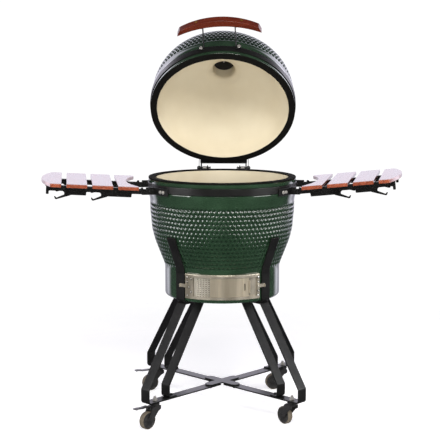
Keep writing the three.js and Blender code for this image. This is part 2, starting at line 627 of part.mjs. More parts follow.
// A shelf arm's upright plate: a strip with an eye at the pin, two deeper parts with tool hooks, and a tail.
const ARM_UNDER = -9;
const ARM_DEEP = -21.5;
const ARM_END = 343;
const HOOK_PARTS = [[44.5, 151], [203, 279]];

function armPlate(side) {
  const top = SLAT_BASE - GAP;
  const points = [
    [-8, -5], [-8, top], [ARM_END, top], [ARM_END, ARM_DEEP], [ARM_END - 10, ARM_DEEP], [ARM_END - 10, ARM_UNDER],
  ];
  for (const [start, end] of [...HOOK_PARTS].reverse()) {
    points.push([end + 6, ARM_UNDER], [end + 1, -13], [end, ARM_DEEP + 1]);
    points.push([end + 27, -33], [end + 32, -27.5], [end + 35.5, -28.5], [end + 31.5, -38], [end + 26.5, -38.5]);
    points.push([end - 21, ARM_DEEP - 1.5], [end - 22, ARM_DEEP], [start, ARM_DEEP], [start, ARM_UNDER]);
  }
  points.push([-4, ARM_UNDER]);
  return polygon(points.map(([s, t]) => [side * s, t]));
}

function shelfArm(side, rear) {
  const near = rear ? SOCKET_SPAN - 6.5 : 3;
  const plate = upright(armPlate(side), near, near + 3.5);
  const ends = [side * 30, side * ARM_END].sort((a, b) => a - b);
  const ledgeY = rear ? SOCKET_SPAN - 21 : 3;
  const ledge = block(ends[0], ends[1], ledgeY, ledgeY + 18, SLAT_BASE - GAP - 2.5, SLAT_BASE - GAP);
  const pinY = rear ? SOCKET_SPAN + 1 : -1;
  const pin = new THREE.CylinderGeometry(SHELF_PIN_R, SHELF_PIN_R, 10, 16).translate(0, pinY, 0);
  return joined([plate, ledge, pin]);
}

// Points of a shallow arc from (x, y0) to (x, y1) that stands out by sag towards +x.
function arcPoints(x, y0, y1, sag, steps) {
  const half = (y1 - y0) / 2;
  const radius = (half ** 2 + sag ** 2) / (2 * sag);
  const spread = Math.asin(half / radius);
  return Array.from({ length: steps + 1 }, (_, i) => {
    const a = spread * ((2 * i) / steps - 1);
    return [x + sag - radius + radius * Math.cos(a), (y0 + y1) / 2 + radius * Math.sin(a)];
  });
}

const INNER_CUT = 36; // depth of the inner slat's hollow, which clears the bowl
const OUTER_ROUND = 34; // how far the outer slat's end stands out from its corners

function slat(side, index) {
  const x0 = SLAT_INSET + index * (SLAT_W + SLAT_GAP);
  const x1 = x0 + SLAT_W;
  const y0 = SLAT_FRONT;
  const y1 = SLAT_FRONT + SLAT_L;
  const inner = index === 0 ? arcPoints(x0, y0 + 24, y1 - 24, INNER_CUT, 10) : [];
  const last = index === SLAT_COUNT - 1;
  const outer = last ? arcPoints(x1 - OUTER_ROUND, y0, y1, OUTER_ROUND, 12) : [[x1, y0], [x1, y1]];
  const outline = [[x0, y0], ...outer, [x0, y1], ...inner.reverse()];
  const shape = polygon(outline.map(([x, y]) => [side * x, y]));
  const options = { depth: SLAT_T, bevelEnabled: false };
  return new THREE.ExtrudeGeometry(shape, options).translate(0, 0, SLAT_BASE);
}

function buildShelf(rim, name, shelf) {
  const { side } = shelf;
  const place = new THREE.Group();
  place.position.set(shelf.x, shelf.y, -SHELF_PIN_DEPTH);
  place.rotation.z = -side * rad(shelf.toe);
  const tilted = new THREE.Group();
  tilted.rotation.y = -side * rad(shelf.tilt);
  rim.add(place);
  place.add(tilted);
  addPart(tilted, `shelf_arm_${name}_front`, shelfArm(side, false), blackSteel());
  addPart(tilted, `shelf_arm_${name}_rear`, shelfArm(side, true), blackSteel());
  for (let i = 0; i < SLAT_COUNT; i++) {
    addPart(tilted, `slat_${name}_${i + 1}`, slat(side, i), shelfWood());
  }
}

// ---- the grill ---------------------------------------------------------------------------------------
const grill = new THREE.Group();
const rim = new THREE.Group();
rim.position.set(AXIS_X, AXIS_Y, RIM_Z);
grill.add(rim);

buildBowl(rim);
buildFireBox(rim);
buildGrates(rim);
buildDraftDoor(rim);
buildStand(rim);
for (const [name, shelf] of Object.entries(SHELVES)) {
  buildSockets(rim, name, shelf);
  buildShelf(rim, name, shelf);
}

const turned = new THREE.Group();
turned.rotation.z = LID_TURN;
rim.add(turned);
buildHingeBase(turned);
const pivot = new THREE.Group();
pivot.position.set(0, HINGE_Y, 0);
pivot.rotation.x = -LID_OPEN;
const lid = new THREE.Group();
lid.position.set(0, -HINGE_Y, 0);
pivot.add(lid);
turned.add(pivot);
buildLid(lid);
buildVent(lid);
buildHandle(lid);
buildHingeArm(lid);

export default grill;
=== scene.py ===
"""Looks of a ceramic charcoal grill (kamado) on its caster stand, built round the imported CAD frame.

Local geometry is in millimetres, in the frame of the sub-assembly it belongs to; piece() scales it to metres.
"""
import json
import math

import bpy
import numpy as np
from mathutils import Matrix, Vector


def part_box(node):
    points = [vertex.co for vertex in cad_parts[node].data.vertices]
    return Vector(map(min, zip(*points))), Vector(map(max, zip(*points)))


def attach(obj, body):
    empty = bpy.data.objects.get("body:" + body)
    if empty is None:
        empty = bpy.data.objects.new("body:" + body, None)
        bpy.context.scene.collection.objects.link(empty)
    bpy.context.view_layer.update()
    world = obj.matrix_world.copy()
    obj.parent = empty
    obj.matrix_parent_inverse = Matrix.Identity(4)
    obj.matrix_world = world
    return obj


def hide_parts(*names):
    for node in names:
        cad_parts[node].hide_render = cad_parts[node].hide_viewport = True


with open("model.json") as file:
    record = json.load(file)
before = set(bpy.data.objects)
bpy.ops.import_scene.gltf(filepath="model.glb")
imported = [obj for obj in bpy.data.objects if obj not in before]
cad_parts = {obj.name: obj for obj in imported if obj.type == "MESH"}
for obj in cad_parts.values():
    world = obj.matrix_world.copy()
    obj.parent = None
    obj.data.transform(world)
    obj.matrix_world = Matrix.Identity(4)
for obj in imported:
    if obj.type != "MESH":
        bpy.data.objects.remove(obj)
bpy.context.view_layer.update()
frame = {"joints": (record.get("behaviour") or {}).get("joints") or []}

MM = 0.001
STAND = "stand_and_bowl"
JOINTS = {joint["name"]: joint for joint in frame["joints"]}
CORNERS = {"front_left": -135, "front_right": -45, "rear_right": 45, "rear_left": 135}
SIDES = {"left": -1, "right": 1}
SHELF_TILT = {"left": math.radians(3.25), "right": math.radians(6)}
LID_OPEN = math.radians(51.05)
LID_TURN = math.radians(-2.3)


# ---- places: each sub-assembly's own frame -----------------------
def joint_point(name):
    return Vector(JOINTS[name]["pos_m"])


def turn_z(angle):
    return Matrix.Rotation(angle, 4, "Z")


gasket_low, gasket_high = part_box("bowl_gasket")
RIM_CENTRE = Vector((
    (gasket_low.x + gasket_high.x) / 2, (gasket_low.y + gasket_high.y) / 2, gasket_high.z,
))
KETTLE = Matrix.Translation(RIM_CENTRE)
HINGE_BASE = KETTLE @ turn_z(LID_TURN)
LID = (
    HINGE_BASE @ Matrix.Translation((0, 0.294, 0)) @ Matrix.Rotation(-LID_OPEN, 4, "X")
    @ Matrix.Translation((0, -0.294, 0))
)


def shelf_turn(name):
    axis = JOINTS[f"shelf_{name}_fold"]["axis"]
    return math.atan2(-SIDES[name] * axis[0], SIDES[name] * axis[1])


def shelf_frame(name):
    tilt = Matrix.Rotation(-SIDES[name] * SHELF_TILT[name], 4, "Y")
    return Matrix.Translation(joint_point(f"shelf_{name}_fold")) @ turn_z(shelf_turn(name)) @ tilt


def corner_frame(corner):
    return KETTLE @ turn_z(math.radians(CORNERS[corner]))


def caster_frame(corner):
    stem = joint_point(f"caster_{corner}_swivel")
    wheel = joint_point(f"wheel_{corner}_spin")
    trail = math.atan2(wheel.y - stem.y, wheel.x - stem.x)
    return Matrix.Translation((stem.x, stem.y, RIM_CENTRE.z)) @ turn_z(trail)


# ---- camera ------------------------------------------------------
CAMERA_DISTANCE = 4.4084  # in front of the kettle's axis
CAMERA_RISE = 0.4566  # above the rim
CAMERA_OFFSET = -0.0079
CAMERA_PITCH = math.radians(7.985)
CAMERA_YAW = math.radians(1.06)
CAMERA_LENS = 100.26


def add_camera():
    data = bpy.data.cameras.new("camera")
    data.sensor_width = 36
    data.lens = CAMERA_LENS
    data.clip_end = 200
    camera = bpy.data.objects.new("camera", data)
    bpy.context.scene.collection.objects.link(camera)
    offset = Vector((CAMERA_OFFSET, -CAMERA_DISTANCE, CAMERA_RISE))
    camera.location = RIM_CENTRE + turn_z(-CAMERA_YAW) @ offset
    camera.rotation_euler = (math.pi / 2 - CAMERA_PITCH, 0, -CAMERA_YAW)
    bpy.context.scene.camera = camera


add_camera()


# ---- shapes: a shape is (points, faces) in millimetres -----------
Z_TO_Y = Matrix.Rotation(math.pi / 2, 4, "X")  # lays a shape's Z axis along -Y
Z_TO_X = Matrix.Rotation(math.pi / 2, 4, "Y")
UPSIDE_DOWN = Matrix.Rotation(math.pi, 4, "X")


def fillet(points, radius, steps=4, closed=False):
    """A polyline whose corners are rounded by arcs. radius is one number, or one for each point."""
    points = [Vector(p) for p in points]
    radii = radius if hasattr(radius, "__len__") else [radius] * len(points)
    rounded = []
    for i, corner in enumerate(points):
        before = points[i - 1] - corner
        after = points[(i + 1) % len(points)] - corner
        is_end = not closed and i in (0, len(points) - 1)
        if is_end or radii[i] <= 0 or before.angle(after) > math.radians(177):
            rounded.append(corner)
            continue
        half = before.angle(after) / 2
        reach = min(radii[i] / math.tan(half), 0.48 * before.length, 0.48 * after.length)
        bisector = (before.normalized() + after.normalized()).normalized()
        centre = corner + bisector * (reach / math.cos(half))
        spokes = [corner + side.normalized() * reach - centre for side in (before, after)]
        sweep = spokes[0].angle(spokes[1])
        for k in range(steps + 1):
            share = k / steps
            weights = [math.sin((1 - share) * sweep), math.sin(share * sweep)]
            rounded.append(centre + (spokes[0] * weights[0] + spokes[1] * weights[1]) / math.sin(sweep))
    return [tuple(p) for p in rounded]


def rectangle(x0, x1, y0, y1, edge=0.0, steps=2):
    corners = [(x0, y0), (x1, y0), (x1, y1), (x0, y1)]
    return fillet(corners, edge, steps, True) if edge else corners


def rings(loops, closed_loop=True, caps=True, closed_path=False):
    """A skin over loops of equal length, each a list of 3-D points."""
    count = len(loops[0])
    points = [p for loop in loops for p in loop]
    faces = []
    pairs = list(zip(range(len(loops) - 1), range(1, len(loops))))
    if closed_path:
        pairs.append((len(loops) - 1, 0))
    for a, b in pairs:
        for j in range(count if closed_loop else count - 1):
            k = (j + 1) % count
            faces.append((a * count + j, a * count + k, b * count + k, b * count + j))
    if caps and not closed_path:
        faces.append(tuple(reversed(range(count))))
        faces.append(tuple(range((len(loops) - 1) * count, len(loops) * count)))
    return points, faces


def merged(*shapes):
    points, faces = [], []
    for shape_points, shape_faces in shapes:
        start = len(points)
        points.extend(shape_points)
        faces.extend(tuple(i + start for i in face) for face in shape_faces)
    return points, faces


def moved(shape, matrix):
    return [tuple(matrix @ Vector(p)) for p in shape[0]], shape[1]


def shifted(shape, x, y, z):
    return moved(shape, Matrix.Translation((x, y, z)))


def aimed(shape, place, direction):
    """The shape with its +Z turned to a direction, and its origin put at a place."""
    turn = Vector(direction).to_track_quat("Z", "Y").to_matrix().to_4x4()
    return moved(shape, Matrix.Translation(place) @ turn)


def prism(outline, low, high):
    """An outline in (x, y), drawn either way round, given a thickness along Z."""
    area = sum(a[0] * b[1] - b[0] * a[1] for a, b in zip(outline, outline[1:] + outline[:1]))
    if area < 0:
        outline = outline[::-1]
    return rings([[(x, y, z) for x, y in outline] for z in (low, high)])


def upright(outline, front, back):
    """An outline in (x, z) given a thickness along Y."""
    return moved(prism(outline, -back, -front), Z_TO_Y)


def sideways(outline, low, high):
    """An outline in (y, z) given a thickness along X."""
    return moved(prism(outline, low, high), Matrix(((0, 0, 1, 0), (1, 0, 0, 0), (0, 1, 0, 0), (0, 0, 0, 1))))


def block(x0, x1, y0, y1, z0, z1):
    x0, x1 = sorted((x0, x1))
    return prism(rectangle(x0, x1, y0, y1), z0, z1)


def turned(profile, steps=96, closed=False):
    """A (radius, height) profile turned about Z. An open profile starts and ends on the axis."""
    points, rows = [], []
    for radius, height in profile:
        if radius < 1e-6:
            rows.append([len(points)] * steps)
            points.append((0, 0, height))
            continue
        rows.append(list(range(len(points), len(points) + steps)))
        for j in range(steps):
            angle = 2 * math.pi * j / steps
            points.append((radius * math.cos(angle), radius * math.sin(angle), height))
    faces = []
    for a, b in zip(rows, rows[1:] + (rows[:1] if closed else [])):
        if len(set(a)) == 1 and len(set(b)) == 1:
            continue
        for j in range(steps):
            k = (j + 1) % steps
            faces.append(tuple(dict.fromkeys((a[j], a[k], b[k], b[j]))))
    return points, faces


def ring(inner, outer, low, high, edge=0.6, steps=96):
    return turned(rectangle(inner, outer, low, high, edge), steps, closed=True)


def peg(radius, low, high, edge=0.5, steps=24):
    return turned(fillet([(0, low), (radius, low), (radius, high), (0, high)], edge, 2), steps)


def hexagon(radius):
    angles = [math.radians(60 * k) for k in range(6)]
    return [(radius * math.cos(a), radius * math.sin(a)) for a in angles]


def hex_bolt(across, height, washer=0.0):
    """A bolt's head on its washer, standing on z = 0."""
    head = prism(hexagon(across / 2), 0.9, 0.9 + height)
    plate = peg(washer or across * 0.72, 0, 0.9, 0.25)
    return merged(head, plate)


def dome_bolt(radius, height):
    profile = [(radius * math.cos(a), height * math.sin(a)) for a in np.linspace(0, math.pi / 2, 6)]
    return turned([(0, 0)] + profile[:-1] + [(0, height)], 20)


def sector(section, start, end, steps):
    """A closed (radius, height) section swept round Z, in degrees from the front, positive towards +X."""
    start, end = sorted((start, end))
    loops = []
    for angle in np.radians(np.linspace(start, end, steps + 1)):
        loops.append([(r * math.sin(angle), -r * math.cos(angle), z) for r, z in section])
    return rings(loops)


def bar(path, thickness, width, edge=0.9):
    """A flat bar of rounded section bent along a path in the (x, z) plane."""
    corners = [(-1, -1), (1, -1), (1, 1), (-1, 1)]

    def section(shrink):
        box = [(a * (thickness / 2 - shrink), b * (width / 2 - shrink)) for a, b in corners]
        return fillet(box, edge, 2, True)

    line = [Vector(p) for p in path]
    loops = []
    for i, point in enumerate(line):
        before = (point - line[i - 1]).normalized() if i else (line[1] - point).normalized()
        after = (line[i + 1] - point).normalized() if i + 1 < len(line) else before
        middle = (before + after).normalized()
        across = Vector((-middle.y, middle.x)) / max(middle.dot(before), 0.2)
        at_end = i in (0, len(line) - 1)
        ends = [(edge, 0.0), (0.0, edge)] if at_end else [(0.0, 0.0)]
        if i:
            ends.reverse()
        for shrink, step in ends:
            inwards = before * step * (1 if i == 0 else -1)
            spot = point + inwards
            loops.append([
                (spot.x + across.x * t, w, spot.y + across.y * t) for t, w in section(shrink)
            ])
    return rings(loops)


def tube(path, radius, steps=10):
    """A round wire along a path of 3-D points."""
    line = [Vector(p) for p in path]
    up = Vector((0, 0, 1))
    loops = []
    for i, point in enumerate(line):
        along = (line[min(i + 1, len(line) - 1)] - line[max(i - 1, 0)]).normalized()
        if abs(along.dot(up)) > 0.95:
            up = Vector((0, 1, 0)) if abs(along.y) < 0.9 else Vector((1, 0, 0))
        side = along.cross(up).normalized()
        up = side.cross(along).normalized()
        angles = [2 * math.pi * k / steps for k in range(steps)]
        loops.append([tuple(point + (side * math.cos(a) + up * math.sin(a)) * radius) for a in angles])
    return rings(loops)


def arc_radius(half, sag):
    """The radius of an arc from half its chord and its rise."""
    return (half ** 2 + sag ** 2) / (2 * sag)


def smooth_curve(points, spacing):
    """Points at about even spacing on a Catmull-Rom curve through the given ones."""
    line = [Vector(p) for p in points]
    padded = [2 * line[0] - line[1], *line, 2 * line[-1] - line[-2]]
    fine = []
    for p0, p1, p2, p3 in zip(padded, padded[1:], padded[2:], padded[3:]):
        for t in np.linspace(0, 1, 24, endpoint=False):
            a = 2 * p1 + (p2 - p0) * t
            b = (2 * p0 - 5 * p1 + 4 * p2 - p3) * t * t
            c = (3 * p1 - p0 - 3 * p2 + p3) * t ** 3
            fine.append((a + b + c) / 2)
    fine.append(line[-1])
    return evenly(fine, spacing)


def evenly(line, spacing):
    """The same polyline, in (x, y), with points at about even spacing."""
    xy = np.array([tuple(p) for p in line], float)
    lengths = np.concatenate([[0], np.cumsum(np.hypot(*np.diff(xy, axis=0).T))])
    marks = np.linspace(0, lengths[-1], max(2, round(lengths[-1] / spacing)) + 1)
    return [tuple(p) for p in np.stack([np.interp(marks, lengths, xy[:, k]) for k in (0, 1)], 1)]


def boolean(shape, cutter, operation="DIFFERENCE"):
    """One shape cut by, or joined to, another."""
    made = [bare_object(f"tool_{i}", s) for i, s in enumerate((shape, cutter))]
    modifier = made[0].modifiers.new("cut", "BOOLEAN")
    modifier.operation = operation
    modifier.solver = "EXACT"
    modifier.object = made[1]
    mesh = bpy.data.meshes.new_from_object(made[0].evaluated_get(bpy.context.evaluated_depsgraph_get()))
    result = [tuple(v.co / MM) for v in mesh.vertices], [tuple(p.vertices) for p in mesh.polygons]
    for tool in made:
        bpy.data.objects.remove(tool)
    bpy.data.meshes.remove(mesh)
    return result


def bare_object(name, shape):
    mesh = bpy.data.meshes.new(name)
    mesh.from_pydata([tuple(c * MM for c in p) for p in shape[0]], [], shape[1])
    mesh.update()
    made = bpy.data.objects.new(name, mesh)
    bpy.context.scene.collection.objects.link(made)
    return made


def piece(name, shape, look, body, at, nodes=(), bevel=0.0, sharp=35, segments=2, even=True):
    """A finished piece: the shape in metres at its frame, with its material, riding on its body."""
    made = bare_object(name, shape)
    looks = look if isinstance(look, (list, tuple)) else [look]
    for material in looks:
        made.data.materials.append(material)
    made.data.polygons.foreach_set("use_smooth", [True] * len(made.data.polygons))
    made.data.set_sharp_from_angle(angle=math.radians(sharp))
    if bevel:
        modifier = made.modifiers.new("edges", "BEVEL")
        modifier.width = bevel * MM
        modifier.segments = segments
        modifier.limit_method = "ANGLE"
        modifier.angle_limit = math.radians(sharp)
        modifier.harden_normals = True
    if even:
        made.modifiers.new("even_normals", "WEIGHTED_NORMAL").keep_sharp = True
    made.matrix_world = at
    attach(made, body)
    if nodes:
        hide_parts(*nodes)
    return made


def finished(node, shape, look, body, at, bevel=0.0, **options):
    """The visible piece that takes the place of one CAD node."""
    return piece(f"{node}_finished", shape, look, body, at, (node,), bevel, **options)


# ---- looks: procedural materials ---------------------------------
class Nodes:
    """A node tree and short ways to add to it. An input is a value, or the socket that feeds it."""

    def __init__(self, tree):
        self.tree = tree

    def feed(self, socket, value):
        if isinstance(value, bpy.types.NodeSocket):
            self.tree.links.new(value, socket)
        else:
            socket.default_value = value

    def node(self, kind, inputs, **settings):
        made = self.tree.nodes.new("ShaderNode" + kind)
        for key, value in settings.items():
            setattr(made, key, value)
        for key, value in inputs.items():
            self.feed(made.inputs[key], value)
        return made

    def span(self, value, low, high, start=0.0, end=1.0, curve="LINEAR"):
        limits = {"Value": value, "From Min": start, "From Max": end, "To Min": low, "To Max": high}
        return self.node("MapRange", limits, interpolation_type=curve).outputs["Result"]

    def maths(self, operation, first, second=0.5):
        return self.node("Math", {0: first, 1: second}, operation=operation).outputs[0]


class Look(Nodes):
    """A procedural material: textures and colours plugged into one Principled shader."""

    def __init__(self, name, slot, **constants):
        self.material = bpy.data.materials.new(name)
        self.material.use_nodes = True
        self.material["slot"] = slot
        super().__init__(self.material.node_tree)
        self.shader = self.tree.nodes["Principled BSDF"]
        self.place = self.node("TexCoord", {}).outputs["Object"]
        for socket, value in constants.items():
            self.shader.inputs[socket.replace("_", " ")].default_value = value

    def stretched(self, scale, shift=None):
        vector = self.place
        if shift:
            vector = self.node("VectorMath", {0: vector, 1: shift}, operation="ADD").outputs[0]
        return self.node("Mapping", {"Vector": vector, "Scale": scale}).outputs[0]

    def noise(self, scale, detail=4.0, vector=None, distortion=0.0):
        inputs = {"Vector": vector or self.place, "Scale": scale, "Detail": detail, "Distortion": distortion}
        return self.node("TexNoise", inputs).outputs["Fac"]

    def ramp(self, value, *stops):
        made = self.node("ValToRGB", {"Fac": value})
        elements = made.color_ramp.elements
        for k, (position, colour) in enumerate(stops):
            element = elements[k] if k < 2 else elements.new(position)
            element.position = position
            element.color = (*colour, 1)
        return made.outputs["Color"]

    def mix(self, share, first, second):
        made = self.node("Mix", {0: share}, data_type="RGBA")
        for socket, value in ((made.inputs[6], first), (made.inputs[7], second)):
            self.feed(socket, (*value, 1) if isinstance(value, tuple) else value)
        return made.outputs[2]

    def attribute(self, name, output="Fac"):
        return self.node("Attribute", {}, attribute_name=name).outputs[output]

    def finish(self, colour, roughness, *bumps):
        """bumps are (height, strength, distance in metres)."""
        self.feed(self.shader.inputs["Base Color"], colour)
        self.feed(self.shader.inputs["Roughness"], roughness)
        normal = None
        for height, strength, distance in bumps:
            made = self.node("Bump", {"Height": height, "Strength": strength, "Distance": distance})
            if normal:
                self.feed(made.inputs["Normal"], normal)
            normal = made.outputs["Normal"]
        self.feed(self.shader.inputs["Normal"], normal)
        return self.material


def green_glaze():
    look = Look("green_glaze", "green_glaze", IOR=1.55, Coat_Weight=0.6, Coat_Roughness=0.04)
    cloud = look.ramp(look.noise(11, 5), (0.3, (0.011, 0.026, 0.013)), (0.72, (0.019, 0.042, 0.022)))
    pooled = look.mix(look.span(look.attribute("pool"), 0, 0.75), cloud, (0.004, 0.012, 0.006))
    specks = look.ramp(look.noise(640, 2), (0.70, (0, 0, 0)), (0.76, (1, 1, 1)))
    colour = look.mix(look.maths("MULTIPLY", specks, 0.35), pooled, (0.045, 0.09, 0.055))
    roughness = look.span(look.noise(45, 4), 0.05, 0.2)
    waves, orange_peel = look.noise(28, 2), look.noise(420, 2)
    return look.finish(colour, roughness, (waves, 0.12, 0.004), (orange_peel, 0.05, 0.0006))


def cream_ceramic(name="cream_ceramic", slot="bare_ceramic", light=1.0):
    look = Look(name, slot, IOR=1.27)
    shade = tuple(c * light for c in (0.65, 0.58, 0.43))
    pale = tuple(c * light for c in (0.73, 0.67, 0.52))
    base = look.ramp(look.noise(7, 6), (0.28, shade), (0.72, pale))
    specks = look.ramp(look.noise(330, 3), (0.71, (0, 0, 0)), (0.77, (1, 1, 1)))
    stained = look.mix(look.maths("MULTIPLY", specks, 0.4), base, (0.34, 0.24, 0.13))
    grain = look.noise(1500, 3)
    colour = look.mix(look.span(grain, 0, 0.16), stained, (0.5, 0.4, 0.26))
    lumps = look.noise(60, 4)
    return look.finish(colour, look.span(grain, 0.78, 0.95), (grain, 0.22, 0.0006), (lumps, 0.15, 0.001))


def black_felt():
    look = Look("black_felt", "felt", IOR=1.2)
    fibres = look.noise(520, 5, look.stretched((1, 1, 3)), 1.2)
    colour = look.ramp(fibres, (0.3, (0.0025, 0.0024, 0.002)), (0.75, (0.008, 0.0075, 0.0065)))
    lumps = look.noise(90, 3)
    return look.finish(colour, look.span(fibres, 0.88, 1.0), (fibres, 0.7, 0.0012), (lumps, 0.4, 0.002))


def black_steel(name="black_steel", slot="black_steel", low=0.004, high=0.009, roughness=(0.27, 0.4)):
    look = Look(name, slot, IOR=1.45)
    cloud = look.ramp(look.noise(16, 5), (0.3, (low, low, low * 0.93)), (0.7, (high, high, high * 0.95)))
    dusty = look.mix(look.span(look.noise(140, 3), 0, 0.1, 0.6, 0.8), cloud, (0.05, 0.048, 0.045))
    powder = look.noise(1700, 2)
    return look.finish(dusty, look.span(look.noise(38, 5), *roughness), (powder, 0.1, 0.0004))


def brushed_steel(name="stainless", tint=(0.66, 0.58, 0.44), stretch=(520, 520, 14), rough=(0.3, 0.44)):
    look = Look(name, "stainless", Metallic=0.72)
    streaks = look.noise(1, 3, look.stretched(stretch))
    smudges = look.noise(34, 5)
    bands = look.noise(1, 1, look.stretched((17, 17, 1.5)))
    dark = tuple(c * 0.8 for c in tint)
    fine = look.mix(look.span(streaks, 0, 1, 0.3, 0.7), dark, tint)
    colour = look.mix(look.span(bands, 0.7, 0, 0.4, 0.58), fine, (0.2, 0.17, 0.12))
    stained = look.mix(look.span(smudges, 0, 0.25, 0.5, 0.8), colour, (0.36, 0.31, 0.23))
    roughness = look.maths("ADD", look.span(streaks, *rough), look.span(smudges, 0, 0.07))
    return look.finish(stained, roughness, (streaks, 0.05, 0.0004), (look.noise(25, 2), 0.05, 0.002))


def zinc():
    look = Look("zinc", "stainless", Metallic=0.6)
    spangle = look.noise(420, 3)
    colour = look.ramp(spangle, (0.3, (0.3, 0.29, 0.27)), (0.7, (0.6, 0.58, 0.55)))
    return look.finish(colour, look.span(spangle, 0.22, 0.42), (spangle, 0.12, 0.0004))


def brass():
    look = Look("brass_plug", "handle_wood", Metallic=0.6)
    tarnish = look.noise(260, 3)
    colour = look.ramp(tarnish, (0.3, (0.16, 0.065, 0.013)), (0.7, (0.32, 0.15, 0.03)))
    return look.finish(colour, look.span(tarnish, 0.3, 0.5), (tarnish, 0.1, 0.0004))


def cast_iron():
    look = Look("cast_iron", "cast_iron", Metallic=0.1)
    sand = look.noise(620, 4)
    cloud = look.ramp(look.noise(22, 5), (0.3, (0.007, 0.007, 0.007)), (0.7, (0.015, 0.0145, 0.014)))
    rusty = look.mix(look.span(look.noise(75, 5), 0, 0.4, 0.6, 0.8), cloud, (0.03, 0.018, 0.012))
    return look.finish(rusty, look.span(sand, 0.5, 0.75), (sand, 0.45, 0.0008))


def oiled_wood(name, slot, along, pale, dark, coat=0.8):
    """along is the axis of the grain: 0 for X, 1 for Y."""
    look = Look(name, slot, IOR=1.5, Coat_Weight=coat, Coat_Roughness=0.09)
    shift = look.attribute("shift", "Vector")

    def grain(across, lengthways):
        return tuple(lengthways if k == along else across for k in range(3))

    figure = look.noise(1, 4, look.stretched(grain(46, 3.2), shift), 1.4)
    pores = look.noise(1, 3, look.stretched(grain(900, 22), shift))
    middle = tuple((a + b) / 2 for a, b in zip(pale, dark))
    bands = look.ramp(figure, (0.3, dark), (0.5, middle), (0.68, pale))
    deep = tuple(c * 0.35 for c in dark)
    colour = look.mix(look.span(pores, 0.55, 0, 0.28, 0.46), bands, deep)
    tone = look.mix(look.span(look.attribute("tone"), 0, 0.5), colour, dark)
    roughness = look.span(figure, 0.3, 0.46)
    return look.finish(tone, roughness, (pores, 0.16, 0.0005), (figure, 0.1, 0.0012))


def moulded(name, slot, low, high, roughness=(0.42, 0.6)):
    look = Look(name, slot)
    cloud = look.ramp(look.noise(60, 5), (0.3, low), (0.7, high))
    scuffs = look.ramp(look.noise(1, 4, look.stretched((260, 40, 90))), (0.64, (0, 0, 0)), (0.75, (1, 1, 1)))
    colour = look.mix(look.maths("MULTIPLY", scuffs, 0.3), cloud, tuple(c * 2.2 + 0.01 for c in high))
    fine = look.noise(1300, 2)
    return look.finish(colour, look.span(look.noise(120, 3), *roughness), (fine, 0.15, 0.0003))


GLAZE = green_glaze()
CREAM = cream_ceramic()
FIRE_CLAY = cream_ceramic("fire_clay", light=0.8)
# the fire box's clay at 7 % of the cream's brightness: partly soot, mostly painted shade for the unlit space
# behind the draft door's screen
SOOT_AND_SHADE_CLAY = cream_ceramic("soot_and_shade_clay", "bare_ceramic", 0.07)
FELT = black_felt()
STEEL = black_steel()
HINGE_STEEL = black_steel("hinge_steel", low=0.005, high=0.01)
STAINLESS = brushed_steel()
FRAME_STEEL = brushed_steel("frame_steel", (0.68, 0.62, 0.5), (60, 60, 60), (0.14, 0.24))
SCREEN_STEEL = brushed_steel("screen_steel", (0.6, 0.56, 0.47), (240, 240, 240), (0.28, 0.4))
# the frame's rivets: bright steel whose base colour is whitened so the rivets show as white dots, partly a
# painted highlight
RIVET = brushed_steel("rivet_steel", (0.95, 0.93, 0.88), (300, 300, 300), (0.12, 0.2))
ZINC = zinc()
BRASS = brass()
IRON = cast_iron()
HANDLE_WOOD = oiled_wood("handle_wood", "handle_wood", 0, (0.125, 0.017, 0.005), (0.062, 0.007, 0.0025), 0.12)
SHELF_WOOD = oiled_wood("shelf_wood", "shelf_wood", 1, (0.30, 0.070, 0.028), (0.15, 0.030, 0.012), 1.0)
PLASTIC = moulded("caster_plastic", "caster_plastic", (0.010, 0.010, 0.010), (0.019, 0.018, 0.018))
PEDAL = black_steel("pedal_steel", "pedal_steel", 0.01, 0.02, (0.26, 0.38))
HUB = moulded("wheel_hub", "wheel_tread", (0.014, 0.013, 0.013), (0.026, 0.025, 0.024))
TREAD = moulded("wheel_tread", "wheel_tread", (0.07, 0.056, 0.038), (0.12, 0.098, 0.068), (0.55, 0.75))


# ---- kettle: bowl and lid with their dimpled skins ---------------
COLUMNS = 600
INNER_COLUMNS = 150
GASKET_STEPS = 300
DIMPLE_PITCH = 15.6
DIMPLE_ROW = 15.5
DIMPLE_RADIUS = 6.3
DIMPLE_DEPTH = 4.0


def plain_ring(radius, height, count):
    angles = 2 * math.pi * np.arange(count) / count
    return np.stack([radius * np.sin(angles), -radius * np.cos(angles), np.full(count, height)], 1)


def skin(rows, skip=None):
    """A skin over rings of points round Z. A ring holds one point, or a whole multiple of its neighbour's."""
    starts = np.concatenate([[0], np.cumsum([len(row) for row in rows])]).tolist()
    faces, pairs = [], []
    for pair, (a, b) in enumerate(zip(rows, rows[1:])):
        counts = len(a), len(b)
        steps = max(counts) if 1 in counts else min(counts)
        for j in range(steps):
            if skip and skip(pair, (j + 0.5) / steps):
                continue
            arcs = []
            for start, count in zip(starts[pair:], counts):
                run = count // steps
                arcs.append([start + (j * run + i) % count for i in range(run + 1)] if count > 1 else [start])
            faces.append(tuple(arcs[0] + arcs[1][::-1]))
            pairs.append(pair)
    return [tuple(p) for p in np.concatenate(rows)], faces, pairs, starts


